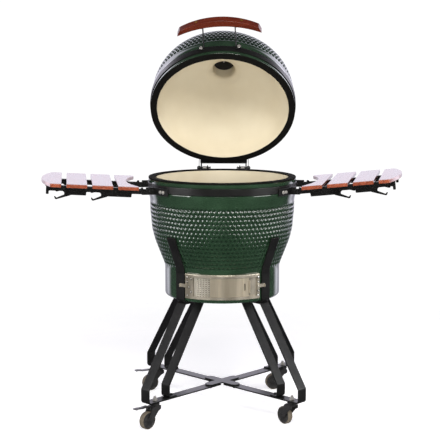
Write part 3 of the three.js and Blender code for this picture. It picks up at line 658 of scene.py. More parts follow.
def dimpled_rows(profile, first):
    """Rings of a (radius, height) profile with rows of round dimples pressed in, and each ring's depths.

    first is the distance along the profile to the first row of dimples, and the last ends the profile.
    """
    xy = np.array(profile)
    along = np.concatenate([[0], np.cumsum(np.hypot(*np.diff(xy, axis=0).T))])
    slope = np.gradient(xy, along, axis=0)
    normals = np.stack([slope[:, 1], -slope[:, 0]], 1)
    normals /= np.linalg.norm(normals, axis=1)[:, None]
    outward = np.sign((normals * [1, 0])[len(xy) // 3, 0])
    normals *= outward
    marks = np.arange(first, along[-1] - 0.6 * DIMPLE_ROW, DIMPLE_ROW)
    angles = 2 * math.pi * np.arange(COLUMNS) / COLUMNS
    rows, depths = [], []
    for point, normal, distance in zip(xy, normals, along):
        depth = np.zeros(COLUMNS)
        for k, mark in enumerate(marks):
            if abs(distance - mark) > 2 * DIMPLE_ROW:
                continue
            radius = np.interp(mark, along, xy[:, 0])
            count = round(2 * math.pi * radius / DIMPLE_PITCH)
            turn = angles * count / (2 * math.pi) + 0.5 * (k % 2)
            aside = (turn - np.round(turn)) * 2 * math.pi / count * point[0]
            depth += np.exp(-(np.hypot(aside, distance - mark) / DIMPLE_RADIUS) ** 3)
        spot = point[None, :] - normal[None, :] * depth[:, None] * DIMPLE_DEPTH
        rows.append(np.stack([spot[:, 0] * np.sin(angles), -spot[:, 0] * np.cos(angles), spot[:, 1]], 1))
        depths.append(depth)
    return rows, depths


def ceramic(node, rows, depths, first_inside, at, body, skip=None, extra=()):
    """The bowl or the lid, glazed outside, bare inside. extra lists faces by (row, column) of each corner."""
    points, faces, pairs, starts = skin(rows, skip)
    walls = [tuple(starts[row] + column % len(rows[row]) for row, column in corners) for corners in extra]
    made = finished(node, (points, faces + walls), (GLAZE, CREAM), body, at, sharp=50, even=False)
    inside = [int(pair >= first_inside) for pair in pairs] + [1] * len(walls)
    made.data.polygons.foreach_set("material_index", inside)
    pool = made.data.attributes.new("pool", "FLOAT", "POINT")
    pool.data.foreach_set("value", np.concatenate(depths).astype(np.float32))
    return made


OUTER_R = 266  # both rims, outside
FELT_H = 4.7
FOOT_R = 208.3
CROWN_Z = 281  # the lid's top, above the rim when shut
THROAT_R = 240
PIN_Y = 294  # the hinge's pins, behind the kettle's axis
HINGE_FACE = 273.9
HOLE_SHARE = 24 / COLUMNS  # half of the air hole's width, of a full turn
HOLE_TOP = -352
HOLE_BOTTOM = -392


def build_bowl():
    foot = fillet([(0, -430), (FOOT_R, -430), (FOOT_R, -331), (209.2, -321)], 11, 7)[1:]
    foot = [p for p in foot if p[0] > 150]
    below = [(r, z) for r, z in foot if z < HOLE_BOTTOM]
    above = [(FOOT_R, z) for z in (HOLE_BOTTOM, HOLE_TOP, -346, -338, -331)] + [(208.5, -325)]
    belly = smooth_curve([
        (209.2, -319), (212.5, -309), (224, -280), (235.5, -250), (246, -221), (254.5, -185),
        (258, -150), (260.8, -118), (261, -88),
    ][::-1], 2.35)
    rows, depths = dimpled_rows(belly, 8)
    rows.reverse()
    depths.reverse()
    neck = smooth_curve([
        (261.1, -86), (261.6, -78), (263.2, -70), (264.9, -62), (265.7, -55), (265.9, -50),
    ], 2.5)
    groove = [(265.9, -49), (265.9, -45.6), (264, -45.4), (264, -18.8), (OUTER_R, -18.6), (OUTER_R, -5)]
    rim = fillet(groove, 0.8, 2) + fillet([(OUTER_R, -8), (OUTER_R, -5), (262, -5)], 1.6, 3)[1:]
    under = [plain_ring(0, -430, INNER_COLUMNS)[:1], plain_ring(150, -430, INNER_COLUMNS)]
    lower = [plain_ring(r, z, COLUMNS) for r, z in below + above]
    upper = [plain_ring(r, z, COLUMNS) for r, z in neck + rim]
    hole_row = len(under) + len(below)
    outside = under + lower + rows + upper
    inside_profile = fillet([
        (240, -5), (238, -60), (236, -118), (230.5, -190), (221, -221), (197.5, -280), (185, -320),
        (183, -345),
    ], 14, 3) + [(183, HOLE_TOP), (183, HOLE_BOTTOM)]
    inside_profile += fillet([(183, -394), (176, -402), (150, -402)], 5, 3)[1:]
    inside_profile[0] = (241, -5)
    inside_profile.insert(1, (240.2, -6))
    inside = [plain_ring(r, z, INNER_COLUMNS) for r, z in inside_profile]
    inside.append(plain_ring(0, -402, INNER_COLUMNS)[:1])
    whole = outside + inside
    inner_row = len(outside) + inside_profile.index((183, HOLE_TOP))

    def skip(pair, share):
        return pair in (hole_row, inner_row) and min(share, 1 - share) < HOLE_SHARE

    ratio = COLUMNS // INNER_COLUMNS
    half = round(HOLE_SHARE * INNER_COLUMNS)
    walls = []
    for outer, inner in ((hole_row, inner_row + 1), (hole_row + 1, inner_row)):
        for i in range(-half, half):
            walls.append([(outer, ratio * i + k) for k in range(ratio + 1)] + [(inner, i + 1), (inner, i)])
    for i in (-half, half):
        outer_edge = [(hole_row, ratio * i), (hole_row + 1, ratio * i)]
        walls.append(outer_edge + [(inner_row, i), (inner_row + 1, i)])
    levels = [np.zeros(len(row)) for row in whole]
    start = len(under) + len(lower)
    levels[start:start + len(depths)] = depths
    ceramic("bowl", whole, levels, len(outside) - 1, KETTLE, STAND, skip, walls)


def build_lid_dome():
    def ellipse(radius, height, base, start, end, steps):
        sweep = np.linspace(math.acos(start / radius), math.acos(end / radius), steps + 1)
        return [(radius * math.cos(a), base + height * math.sin(a)) for a in sweep]

    collar = fillet([(262, 5.2), (OUTER_R, 5.2), (OUTER_R, 9)], 1.6, 3)
    groove = [(OUTER_R, 11), (OUTER_R, 18.6), (264, 18.8), (264, 45.4), (265.9, 45.6), (265.9, 49)]
    collar += fillet(groove, 0.8, 2)[1:]
    collar += smooth_curve([(265.9, 50), (265.7, 56), (265, 62), (264, 68), (263.3, 73), (263, 78)], 2.4)
    dome = evenly(ellipse(263, 208, 78, 263, 74, 300), 2.7)
    rows, depths = dimpled_rows(dome[1:], 8)
    land = smooth_curve([dome[-1], (68, 279.6), (61, 280.8), (56, CROWN_Z)], 3)[1:]
    top = [(50, CROWN_Z), (44, CROWN_Z)]
    throat = ellipse(THROAT_R, 183, 40, 68, THROAT_R, 60)
    flue = [(41.3, 280.6), (41.3, 250), (41.6, 238), (44, 231), (50, 225.5), (58, 220.5)]
    lip = smooth_curve([*flue, throat[0]], 3)
    inner = lip + throat[1::2] + [(241.5, 30), (242.4, 16), (242.7, 6.4), (244, 5.2)]
    outside = [plain_ring(r, z, COLUMNS) for r, z in collar] + rows
    outside += [plain_ring(r, z, COLUMNS) for r, z in land + top[:1]]
    inside = [plain_ring(r, z, INNER_COLUMNS) for r, z in top[1:] + inner]
    closing = plain_ring(*collar[0], COLUMNS)
    whole = outside + inside + [closing]
    levels = [np.zeros(len(row)) for row in whole]
    levels[len(collar):len(collar) + len(depths)] = depths
    ceramic("lid_dome", whole, levels, len(outside) - 1, LID, "lid")


def build_gaskets():
    draw = np.random.default_rng(7)
    for name, at, body, inner, low in (
        ("bowl_gasket", KETTLE, STAND, 240, -4.7), ("lid_gasket", LID, "lid", 242.7, 0.3),
    ):
        section = rectangle(inner, OUTER_R, low, low + FELT_H, 1.3, 3)
        points, faces = turned(section, GASKET_STEPS, closed=True)
        fray = draw.normal(0, 0.13, len(points))
        lap = 2 * math.pi / GASKET_STEPS
        waves = [0.35 * math.sin(9 * k * lap) * math.sin(23 * k * lap) for k in range(GASKET_STEPS)]
        ragged = []
        for k, (x, y, z) in enumerate(points):
            radius = math.hypot(x, y)
            inward = -1 if radius < (inner + OUTER_R) / 2 else 0
            change = 1 + (fray[k] + inward * (0.4 + waves[k % GASKET_STEPS])) / radius
            ragged.append((x * change, y * change, z + (0 if z in (low, low + FELT_H) else 0.3 * fray[k])))
        finished(name, (ragged, faces), FELT, body, at, sharp=80)


def build_bands():
    for name, at, body, low in (
        ("bowl_band", KETTLE, STAND, -44.3), ("lid_band", LID, "lid", 19.3),
    ):
        shape = ring(264.5, 268.4, low, low + 25, 0.9, 240)
        finished(name, shape, STEEL, body, at, sharp=40)


def build_fire_parts():
    wall = fillet([
        (148, -401.5), (170, -401.5), (178, -300), (210, -172),
        (188, -172), (160, -300), (160, -345), (148, -345),
    ], [3, 3, 20, 5, 5, 20, 2, 3], 3, True)
    opening = block(-60, 60, -200, -120, -412, -352)
    shape = boolean(turned(wall, 120, closed=True), opening)
    # painted shade: the fire box is darkened to stand in for the unlit space seen through the draft door
    finished("fire_box", shape, SOOT_AND_SHADE_CLAY, STAND, KETTLE, 1.2)
    shape = ring(195, 219, -171.5, -82, 4, 120)
    finished("fire_ring", shape, FIRE_CLAY, STAND, KETTLE, sharp=40)

    plate = peg(158.5, -344.6, -337, 1.2, 96)
    for row in range(-4, 5):
        half = math.sqrt(144.5 ** 2 - (row * 30) ** 2)
        for near, far in ((7, half), (-half, -7)):
            x = row * 30
            slot = rectangle(x - 4.5, x + 4.5, near, far, 4.2, 4)
            plate = boolean(plate, prism(slot, -350, -330))
    finished("charcoal_grate", plate, IRON, STAND, KETTLE, 0.8, sharp=50)

    wires = [ring(214.5, 221.5, -81.3, -74.7, 2.6, 120)]
    for index in range(-7, 8):
        x = index * 27
        half = math.sqrt(216.5 ** 2 - x ** 2)
        section = fillet([(x - 3, -81), (x + 3, -81), (x + 2.4, -75), (x - 2.4, -75)], 1.4, 2, True)
        wires.append(rings([[(a, y, z) for a, z in section] for y in (half, -half)]))
    for y in (-80, 80):
        half = math.sqrt(217.5 ** 2 - y ** 2)
        section = rectangle(y - 3, y + 3, -80.4, -76.6, 1.2)
        wires.append(rings([[(x, a, z) for a, z in section] for x in (-half, half)]))
    finished("cooking_grate", merged(*wires), IRON, "cooking_grate", KETTLE, sharp=40)


build_bowl()
build_lid_dome()
build_gaskets()
build_bands()
build_fire_parts()


# ---- draft door --------------------------------------------------
def on_band(radius, degrees, height):
    """A place on the kettle's side, and the direction that faces out there."""
    angle = math.radians(degrees)
    outwards = Vector((math.sin(angle), -math.cos(angle), 0))
    return (radius * outwards.x, radius * outwards.y, height), outwards


def stud(shape, radius, degrees, height):
    place, outwards = on_band(radius, degrees, height)
    return aimed(shape, place, outwards)


def channel_rail(edge, inward):
    """The section of a rail: out from the back sheet, then turned over the sheets' edge."""
    path = [(210.2, edge - 0.8 * inward), (216.9, edge - 0.8 * inward), (216.9, edge - 11.6 * inward)]
    path = fillet([(r, z + 1.6 * inward) for r, z in path], 2.2, 5)
    line = [Vector(p) for p in path]
    sides = []
    for i, point in enumerate(line):
        along = (line[min(i + 1, len(line) - 1)] - line[max(i - 1, 0)]).normalized()
        across = Vector((-along.y, along.x)) * 0.7
        sides.append((point + across, point - across))
    return [tuple(a) for a, _ in sides] + [tuple(b) for _, b in reversed(sides)]


def perforated(radius, start, end, low, high):
    """A curved sheet punched with oblong holes in straight rows: a grid whose cells each hold one hole."""
    pitch_x, pitch_z = 10, 7.4
    hole_x, hole_z = 3.6, 2.4  # half sizes
    thick, rim = 0.4, 0.4
    arc = math.radians(end - start) * radius
    across = round(arc / pitch_x)
    up = round((high - low) / pitch_z)
    step_x = arc / across
    step_z = (high - low) / up
    spokes = 12
    points, faces = [], []

    def add(x, z, depth):
        angle = math.radians(start) + x / radius
        points.append(((radius + depth) * math.sin(angle), -(radius + depth) * math.cos(angle), low + z))
        return len(points) - 1

    for i in range(across):
        for j in range(up):
            x, z = (i + 0.5) * step_x, (j + 0.5) * step_z
            loops = []
            for depth in (thick, -thick):
                square, circle = [], []
                raised = depth + rim if depth > 0 else depth
                for k in range(spokes):
                    angle = 2 * math.pi * k / spokes
                    cos, sin = math.cos(angle), math.sin(angle)
                    reach = 0.5 / max(abs(cos) / step_x, abs(sin) / step_z)
                    square.append(add(x + cos * reach, z + sin * reach, depth))
                    circle.append(add(x + cos * hole_x, z + sin * hole_z, raised))
                loops.append((square, circle))
            (front_square, front_circle), (back_square, back_circle) = loops
            for k in range(spokes):
                n = (k + 1) % spokes
                faces.append((front_square[k], front_square[n], front_circle[n], front_circle[k]))
                faces.append((back_square[n], back_square[k], back_circle[k], back_circle[n]))
                faces.append((front_circle[k], front_circle[n], back_circle[n], back_circle[k]))
    return points, faces


FRAME_START, FRAME_END = -37.9, 36.1
FRAME_LOW, FRAME_HIGH = -414, -328
DOOR_LOW, DOOR_HIGH = -410.5, -331.5
DOOR_MIDDLE = -371

# studs of the draft frame's ends: height, radius, degrees in from the end
LEFT_STUDS = (
    (-339, 4.0, 2.4), (-355, 3.2, 2.2), (-404, 4.0, 2.4),
    (-390, 3.2, 6.4), (-344, 3.0, 6.4), (-374, 3.6, 4.2),
)
RIGHT_STUDS = ((-339, 4.0, -1.3), (-356, 3.2, -1.3), (-403, 4.0, -1.3), (-387, 3.2, -1.3), (-371, 3.0, -1.3))


def build_draft_door():
    back = sector(rectangle(209.1, 210.6, FRAME_LOW, FRAME_HIGH), FRAME_START, FRAME_END, 60)
    window = sector(rectangle(200, 230, -402, -340), -29.4, 26.6, 50)
    shapes = [boolean(back, window)]
    for edge, inward in ((FRAME_HIGH, 1), (FRAME_LOW, -1)):
        shapes.append(sector(channel_rail(edge, inward), FRAME_START, FRAME_END, 72))
    rivets, shadow_rings = [], []
    for stop, side, cover, columns in (
        (FRAME_START, 1, 8.5, LEFT_STUDS), (FRAME_END, -1, -2.4, RIGHT_STUDS),
    ):
        end_wall = rectangle(210.4, 217.4, FRAME_LOW + 1, FRAME_HIGH - 1)
        end_cover = rectangle(215.9, 217.3, FRAME_LOW + 1, FRAME_HIGH - 1)
        shapes.append(sector(end_wall, stop, stop + 0.5 * side, 2))
        shapes.append(sector(end_cover, stop, stop + cover, 5))
        clip = rectangle(215, 219.3, 0, 1.4, 0.5)
        shapes.append(sector([(r, z - 376.5 + (0 if z < 1 else 11)) for r, z in clip],
                             stop + 2.3 * side, stop - 6.3 * side, 10))
        slot_lug = rectangle(217.2, 222, -366, -377, 0.8)
        shapes.append(sector(slot_lug, stop - 6.3 * side, stop - 5.6 * side, 2))
        for height, radius, inset in columns:
            rivets.append(stud(dome_bolt(radius, 3.2), 217, stop + inset, height))
            # painted shadow: a thin dark iron ring round each rivet stands in for the shade round it
            shadow_rings.append(stud(dome_bolt(radius + 1.7, 0.9), 217, stop + inset, height))
    finished("draft_frame", merged(*shapes), FRAME_STEEL, STAND, KETTLE, sharp=30)
    piece("draft_frame_rivets", merged(*rivets), RIVET, STAND, KETTLE, sharp=50)
    # the dark rings of painted shadow round the rivets
    piece("draft_frame_shadow_rings", merged(*shadow_rings), IRON, STAND, KETTLE, sharp=50)

    border = rectangle(211.5, 212.5, -408, DOOR_LOW)
    mirrored = [(r, 2 * DOOR_MIDDLE - z) for r, z in border]
    edges = [sector(border, -28.5, 9.5, 38), sector(mirrored, -28.5, 9.5, 38)]
    upright_edge = rectangle(211.4, 212.5, -408, -334)
    edges += [sector(upright_edge, a, a + 2.2, 3) for a in (-28.5, 7.3)]
    mesh = perforated(212, -26.3, 7.3, -408, -334)
    holder = sector(rectangle(211.3, 212.8, -404, -338), -28.6, -27, 2)
    finished("draft_screen", merged(mesh, holder, *edges), SCREEN_STEEL, "draft_screen", KETTLE, sharp=30)

    sheet = rectangle(213, 214.5, DOOR_LOW, DOOR_HIGH, 0.4)
    door = sector(sheet, -12.4, 18.6, 60)
    plate = sector(rectangle(213, 215.9, DOOR_LOW, DOOR_HIGH, 0.8), 18.2, 24.6, 12)
    centre, _ = on_band(212, 20.4, DOOR_MIDDLE)
    finger = rectangle(-3.1, 3.1, -13, 13, 3, 5)
    turn = Matrix.Translation(centre) @ turn_z(math.radians(20.4))
    plate = boolean(plate, moved(upright(finger, -12, 6), turn))
    lip = sector(rectangle(214.6, 219.4, DOOR_LOW + 17, DOOR_HIGH - 17, 1), 24.7, 25.5, 2)
    rivets = [stud(dome_bolt(2.2, 1.2), 215.8, 23.4, z) for z in (-349, -393)]
    finished("draft_door", merged(door, plate, lip, *rivets), STAINLESS, "draft_door", KETTLE, sharp=30)


# ---- stand -------------------------------------------------------
def strap(path, bend=9.0, steps=6):
    line = fillet([(r, -depth) for r, depth in path], bend, steps)
    return bar(line, 5, 40, 0.9)


def build_stand():
    cradle = [(257.6, 200), (214.3, 311), (212.2, 330), (212.2, 424), (204, 433), (30, 433)]
    outer = [(165, 438.3), (206, 438.3), (385, 719.5), (385, 767.5), (25, 767.5)]
    inner = [(74, 438.3), (111, 438.3), (288, 719.5), (288, 762.2), (252, 762.2)]
    for corner in CORNERS:
        at = corner_frame(corner)
        arm = strap(cradle, 7)
        screws = [moved(shifted(dome_bolt(5.2, 2.8), r, 0, 441.1), UPSIDE_DOWN) for r in (180, 196, 84, 100)]
        finished(f"cradle_arm_{corner}", arm, STEEL, STAND, at, sharp=40)
        finished(f"leg_outer_{corner}", strap(outer), STEEL, STAND, at, sharp=40)
        finished(f"leg_inner_{corner}", strap(inner), STEEL, STAND, at, sharp=40)
        piece(f"leg_screws_{corner}", merged(*screws), ZINC, STAND, at, sharp=40)
        fixings = [
            shifted(peg(9.6, -773.9, -770.1, 0.5, 32), 340, 0, 0),
            shifted(peg(9.6, -764.9, -763.4, 0.4, 32), 340, 0, 0),
            shifted(prism(hexagon(8.6), -763.4, -756.5), 340, 0, 0),
            shifted(peg(4.9, -756.5, -749.5, 0.8, 20), 340, 0, 0),
        ]
        piece(f"stem_nuts_{corner}", merged(*fixings), ZINC, STAND, at, bevel=0.6)
        bolts = [shifted(hex_bolt(11, 3.2), r, 0, -759.8) for r in (262, 276)]
        piece(f"leg_bolts_{corner}", merged(*bolts), STEEL, STAND, at, bevel=0.4)

    for name, reach, low in (("cross_plate_lower", 82, -764.7), ("cross_plate_upper", 68, -440.8)):
        half = 19
        tips = []
        for turn in (45, 135, 225, 315):
            angles = np.radians(np.linspace(-90, 90, 13))
            spoke = [(reach - half + half * math.cos(a), half * math.sin(a)) for a in angles]
            cos, sin = math.cos(math.radians(turn)), math.sin(math.radians(turn))
            tips += [(x * cos - y * sin, x * sin + y * cos) for x, y in spoke]
            tips.append((half * math.sqrt(2) * math.cos(math.radians(turn + 45)),
                         half * math.sqrt(2) * math.sin(math.radians(turn + 45))))
        plate = prism(tips, low, low + 4.9)
        finished(name, plate, STEEL, STAND, KETTLE, 0.9, segments=3)
    nuts = []
    for turn in (45, 135, 225, 315):
        nut = moved(shifted(hex_bolt(12, 6), 63, 0, 770.1), UPSIDE_DOWN)
        nuts.append(moved(nut, turn_z(math.radians(turn))))
    piece("cross_plate_nuts", merged(*nuts), STEEL, STAND, KETTLE, bevel=0.4)


# ---- casters -----------------------------------------------------
WHEEL_TOP = -774.3  # top of the caster's housing, below the rim
AXLE_Z = 31.4 - 860
TRAIL = 37
TREAD_R = 31.4
AXLE = Matrix.Translation((TRAIL, 0, AXLE_Z)) @ Z_TO_Y


def build_caster(corner):
    at = caster_frame(corner)
    swivel, spin = f"caster_{corner}", f"wheel_{corner}"
    housing = turned(fillet([
        (0, WHEEL_TOP), (16.6, WHEEL_TOP), (16.9, WHEEL_TOP - 3), (15.4, WHEEL_TOP - 4.2),
        (15.4, WHEEL_TOP - 9), (13, WHEEL_TOP - 12), (0, WHEEL_TOP - 12),
    ], 0.8, 2), 48)
    bridge = prism(rectangle(-15, 22, -16, 16, 7, 5), WHEEL_TOP - 13, WHEEL_TOP - 8.2)
    cheek = fillet([(-15, WHEEL_TOP - 8.2), (22, WHEEL_TOP - 8.2), (44, AXLE_Z + 6)], 8, 5)
    angles = np.radians(np.linspace(15, -125, 12))
    arc = [(TRAIL + 10.8 * math.cos(a), AXLE_Z + 10.8 * math.sin(a)) for a in angles]
    outline = cheek[:-1] + arc + fillet([arc[-1], (-2, WHEEL_TOP - 27), (-15, WHEEL_TOP - 20)], 8, 4)[1:]
    cheeks = [upright(outline, front, front + 3) for front in (-15.9, 12.9)]
    rib = [(-9, WHEEL_TOP - 11), (-5, WHEEL_TOP - 11), (33, AXLE_Z + 4), (29.5, AXLE_Z + 4)]
    ribs = [upright(rib, front, front + 0.7) for front in (-16.3, 15.6)]
    axle = moved(peg(3.9, -17.2, 17.2, 0.6, 24), AXLE)
    finished(f"caster_fork_{corner}", merged(housing, bridge, *cheeks, *ribs), PLASTIC, swivel, at, 0.7)
    ends = [aimed(hex_bolt(9, 2.4), (TRAIL, side * 15.8, AXLE_Z), (0, side, 0)) for side in (-1, 1)]
    piece(f"caster_axle_{corner}", merged(axle, *ends), PLASTIC, swivel, at, bevel=0.4)

    hub = fillet([
        (4.4, -11.8), (8.5, -11.8), (9.5, -9), (13, -7.6), (22.5, -7.6), (24, -9.6), (28.4, -9.8),
        (28.4, 9.8), (24, 9.6), (22.5, 7.6), (13, 7.6), (9.5, 9), (8.5, 11.8), (4.4, 11.8),
    ], 0.9, 2, True)
    tread = fillet([
        (28.2, -9.9), (29.4, -9.8), (31.3, -7), (TREAD_R, 0), (31.3, 7), (29.4, 9.8), (28.2, 9.9),
    ], 1.2, 4, True)
    spokes = [moved(block(8, 24.5, -1.1, 1.1, -9.2, 9.2), turn_z(math.radians(60 * k))) for k in range(6)]
    hub_shape = merged(turned(hub, 72, closed=True), *spokes)
    whole = merged(hub_shape, turned(tread, 96, closed=True))
    wheel = finished(f"caster_wheel_{corner}", moved(whole, AXLE), (TREAD, HUB), spin, at, sharp=35)
    wheel.data.polygons.foreach_set("material_index", [
        int(k < len(hub_shape[1])) for k in range(len(whole[1]))
    ])

    if corner.endswith("left"):
        pivot = (30, WHEEL_TOP - 15.5)
        lever = fillet([
            pivot, (30, WHEEL_TOP - 6.5), (36, WHEEL_TOP - 4), (70, WHEEL_TOP - 4.6), (86, WHEEL_TOP - 2.2),
            (98, WHEEL_TOP - 3.4),
        ], 4, 4)
        pedal = bar(lever, 2.6, 22, 0.7)
        hinge = Matrix.Translation((pivot[0], 0, pivot[1])) @ Z_TO_Y
        barrel = moved(peg(3.9, -10.8, 10.8, 0.5, 24), hinge)
        grips = [block(x, x + 1.8, -8.5, 8.5, WHEEL_TOP - 3.4, WHEEL_TOP - 1.2) for x in (74, 79, 84)]
        lever = merged(pedal, barrel, *grips)
        finished(f"brake_pedal_{corner}", lever, PEDAL, f"brake_{corner}", at, sharp=35)


# ---- lid furniture -----------------------------------------------
def build_vent():
    seat = 281.3
    base = turned(fillet([(0, seat), (60, seat), (60, seat + 4.4), (57, seat + 4.4), (57, seat + 16),
                          (53, seat + 16), (53, seat + 4.5), (0, seat + 4.5)], 1, 3), 96)
    cap_low = seat + 4.8
    cap = turned(fillet([(0, cap_low), (51, cap_low), (51, cap_low + 5), (30, cap_low + 7), (0, cap_low + 8)],
                        1.2, 3), 96)
    for k in range(6):
        petal = [(13, 0), (33, 0), (33, 20), (13, 20)]
        low = sector([(r, seat - 4 + z) for r, z in petal], 60 * k - 13, 60 * k + 13, 8)
        high = sector([(r, cap_low - 4 + z) for r, z in petal], 60 * k + 17, 60 * k + 43, 8)
        base = boolean(base, low)
        cap = boolean(cap, high)
    knob = turned(fillet([(0, cap_low + 6), (11, cap_low + 6), (9, cap_low + 12), (10.5, cap_low + 18),
                          (9, cap_low + 21.5), (0, cap_low + 21.5)], 1.5, 3), 40)
    riser = block(-9, 9, -48, -38, cap_low + 3, cap_low + 14)
    tab = prism(rectangle(-9, 9, -74, -38, 5, 5), cap_low + 12.5, cap_low + 17.5)
    finished("vent_base", base, IRON, "lid", LID, sharp=35)
    finished("vent_cap", merged(cap, knob, riser, tab), IRON, "vent_cap", LID, sharp=35)
    bolt = aimed(dome_bolt(4.4, 3), (0, 0, seat), (0, 0, -1))
    screws = [aimed(dome_bolt(2.6, 1.8), (35 * side, 0, seat), (0, 0, -1)) for side in (-1, 1)]
    piece("vent_screws", merged(bolt, *screws), ZINC, "lid", LID, sharp=40)


HANDLE_OUTER = (370, 141, 38.3)  # reach from the lid's axis, half width, rise
HANDLE_INNER = (345, 149.3, 34.7)
HANDLE_LOW, HANDLE_HIGH = 53, 80.5
PLUG_X = (-78.9, 80.5)
PLUG_HEIGHT = 69.7
POST_X = 57


def handle_arc(reach, half, sag, steps=60):
    """Points of an arc symmetric about the front, reach from the axis at its middle."""
    radius = arc_radius(half, sag)
    spread = math.asin(half / radius)
    angles = np.linspace(-spread, spread, steps + 1)
    return [(radius * math.sin(a), radius - reach - radius * math.cos(a)) for a in angles]


def build_handle():
    at = LID @ Matrix.Translation((0.008, 0, 0)) @ turn_z(math.radians(-3.2))
    loops = []
    for (x0, y0), (x1, y1) in zip(handle_arc(*HANDLE_OUTER), handle_arc(*HANDLE_INNER)):
        run = Vector((x1 - x0, y1 - y0))
        section = rectangle(0, run.length, HANDLE_LOW, HANDLE_HIGH, 1.5, 4)
        aim = run.normalized()
        loops.append([(x0 + aim.x * r, y0 + aim.y * r, z) for r, z in section])
    handle = finished("lid_handle", rings(loops), HANDLE_WOOD, "lid", at, 0.8, sharp=40)
    tag(handle, shift=0.37, tone=0.0)
    bend = arc_radius(*HANDLE_OUTER[1:])
    plugs = []
    for x in PLUG_X:
        lean = math.asin(x / bend)
        spot = (x, bend - HANDLE_OUTER[0] - bend * math.cos(lean), PLUG_HEIGHT)
        plugs.append(aimed(peg(5.6, -3, 0.5, 0.4, 28), spot, (math.sin(lean), -math.cos(lean), 0)))
    piece("handle_plugs", merged(*plugs), BRASS, "lid", at, sharp=40)

    back = arc_radius(*HANDLE_INNER[1:])
    post_top = -(HANDLE_INNER[0] - back + math.sqrt(back ** 2 - (POST_X + 11) ** 2)) + 0.7
    middle = (HANDLE_LOW + HANDLE_HIGH) / 2
    web = fillet([
        (-269, 22.5), (-269, 41.5), (post_top + 13, middle + 7.5), (post_top, middle + 7.5),
        (post_top, middle - 7.5), (-283, 22.5),
    ], 3, 3, True)
    for name, side in SIDES.items():
        name = f"handle_post_{name}"
        x = side * POST_X
        foot = block(x - side * 2, x + side * 18, -272.2, -268.9, 22.3, 41.7)
        cap = block(x - side * 2, x + side * 11, post_top, post_top + 3.4, middle - 7.5, middle + 7.5)
        shape = merged(sideways(web, x - 1.9, x + 1.9), foot, cap)
        finished(name, shape, STEEL, "lid", at, 0.7)
        bolt = aimed(hex_bolt(10, 3.4), (x + side * 10, -272.2, 32), (0, -1, 0))
        piece(f"{name}_bolt", bolt, ZINC, "lid", at, bevel=0.4)


def tag(made, **values):
    """Constant point attributes that a material reads."""
    for name, value in values.items():
        attribute = made.data.attributes.new(name, "FLOAT", "POINT")
        attribute.data.foreach_set("value", np.full(len(made.data.vertices), value, np.float32))


# ---- hinge -------------------------------------------------------
BASE_EAR_X = 62
ARM_EAR_X = 86


def hinge_ear(x, z0, z1, start, end):
    arc = [(PIN_Y + 9 * math.cos(a), 9 * math.sin(a)) for a in np.radians(np.linspace(start, end, 20))]
    return sideways([(270, z0)] + arc + [(270, z1)], x - 2.4, x + 2.4)


def hinge_plate(z0, z1):
    return upright(rectangle(-89.8, 89.8, z0, z1, 5, 4), 269.1, HINGE_FACE)


def build_hinge():
    base = [hinge_plate(-57.8, -14.2)]
    pins, coils, legs = [], [], []
    lay = Matrix.Translation((0, PIN_Y, 0)) @ Z_TO_X
    for side in (-1, 1):
        base.append(hinge_ear(side * BASE_EAR_X, -54, -16, -55, 125))
        near, far = sorted((side * 50, side * 92))
        pins.append(moved(peg(3.9, near, far, 0.6, 28), lay))
        nut = turned([(0, -6), (6.4, -6), (7.8, -3), (8, 0), (7, 3.6), (4.6, 6.4), (0, 7.6)], 28)
        pins.append(aimed(nut, (side * 95.5, PIN_Y, 0), (side, 0, 0)))
        turns = np.linspace(0, 2 * math.pi * 5.25, 110)
        coil = [
            (side * (66.5 + 14.5 * t / turns[-1]), PIN_Y + 6 * math.cos(t), 6 * math.sin(t)) for t in turns
        ]
        coil_end = [coil[0], (side * 66.5, 299, -18), (side * 67, 279, -40), (side * 67, 275.5, -48)]
        coils += [tube(coil, 1.05, 8), tube(coil_end, 1.05, 8)]
        leg = [(side * 95, 292, 8), (side * 95, 283, 26), (side * 93, 277, 44), (side * 84, 275.4, 50)]
        legs.append(tube(leg, 1.3, 8))
    finished("hinge_base", merged(*base), HINGE_STEEL, STAND, HINGE_BASE, 0.8)
    piece("hinge_pins", merged(*pins), HINGE_STEEL, STAND, HINGE_BASE, sharp=35)
    piece("hinge_springs", merged(*coils), ZINC, STAND, HINGE_BASE, sharp=80)
    piece("hinge_spring_legs", merged(*legs), ZINC, "lid", LID, sharp=80)

    arm = [hinge_plate(2.7, 57.8)]
    for side in (-1, 1):
        ear = hinge_ear(side * ARM_EAR_X, 6, 54, -110, 50)
        hole = moved(peg(4.5, side * ARM_EAR_X - 6, side * ARM_EAR_X + 6, 0.1, 28), lay)
        arm.append(boolean(ear, hole))
    finished("hinge_arm", merged(*arm), HINGE_STEEL, "lid", LID, 0.7)
    for name, height, body, at in (("base", -36, STAND, HINGE_BASE), ("arm", 32, "lid", LID)):
        heads = [aimed(hex_bolt(12, 4), (x, HINGE_FACE, height), (0, 1, 0)) for x in (-50, -18, 18, 50)]
        piece(f"hinge_{name}_bolts", merged(*heads), ZINC, body, at, bevel=0.4)
    clips = []
    for side in (-1, 1):
        wire = [(side * 52, PIN_Y, 8), (side * 53, PIN_Y, 1), (side * 55, 292, -1), (side * 70, 289, -2.4)]
        clips.append(tube(wire, 1.1, 8))
        clips.append(tube([(side * 50, 291, -1), (side * 60, 287, -5)], 1.1, 8))
    piece("hinge_clips", merged(*clips), ZINC, STAND, HINGE_BASE, sharp=80)


# ---- side shelves ------------------------------------------------
SOCKET_SPAN = 242
FOOT_INNER = 268.9
FOOT_OUTER = 272.4
SLAT_INSET = 24
SLAT_STEP = 88.8
SLAT_W = 71.5
SLAT_SEAT = 10.3  # the arms' top, above the fold's axis
ARM_LENGTH = 343


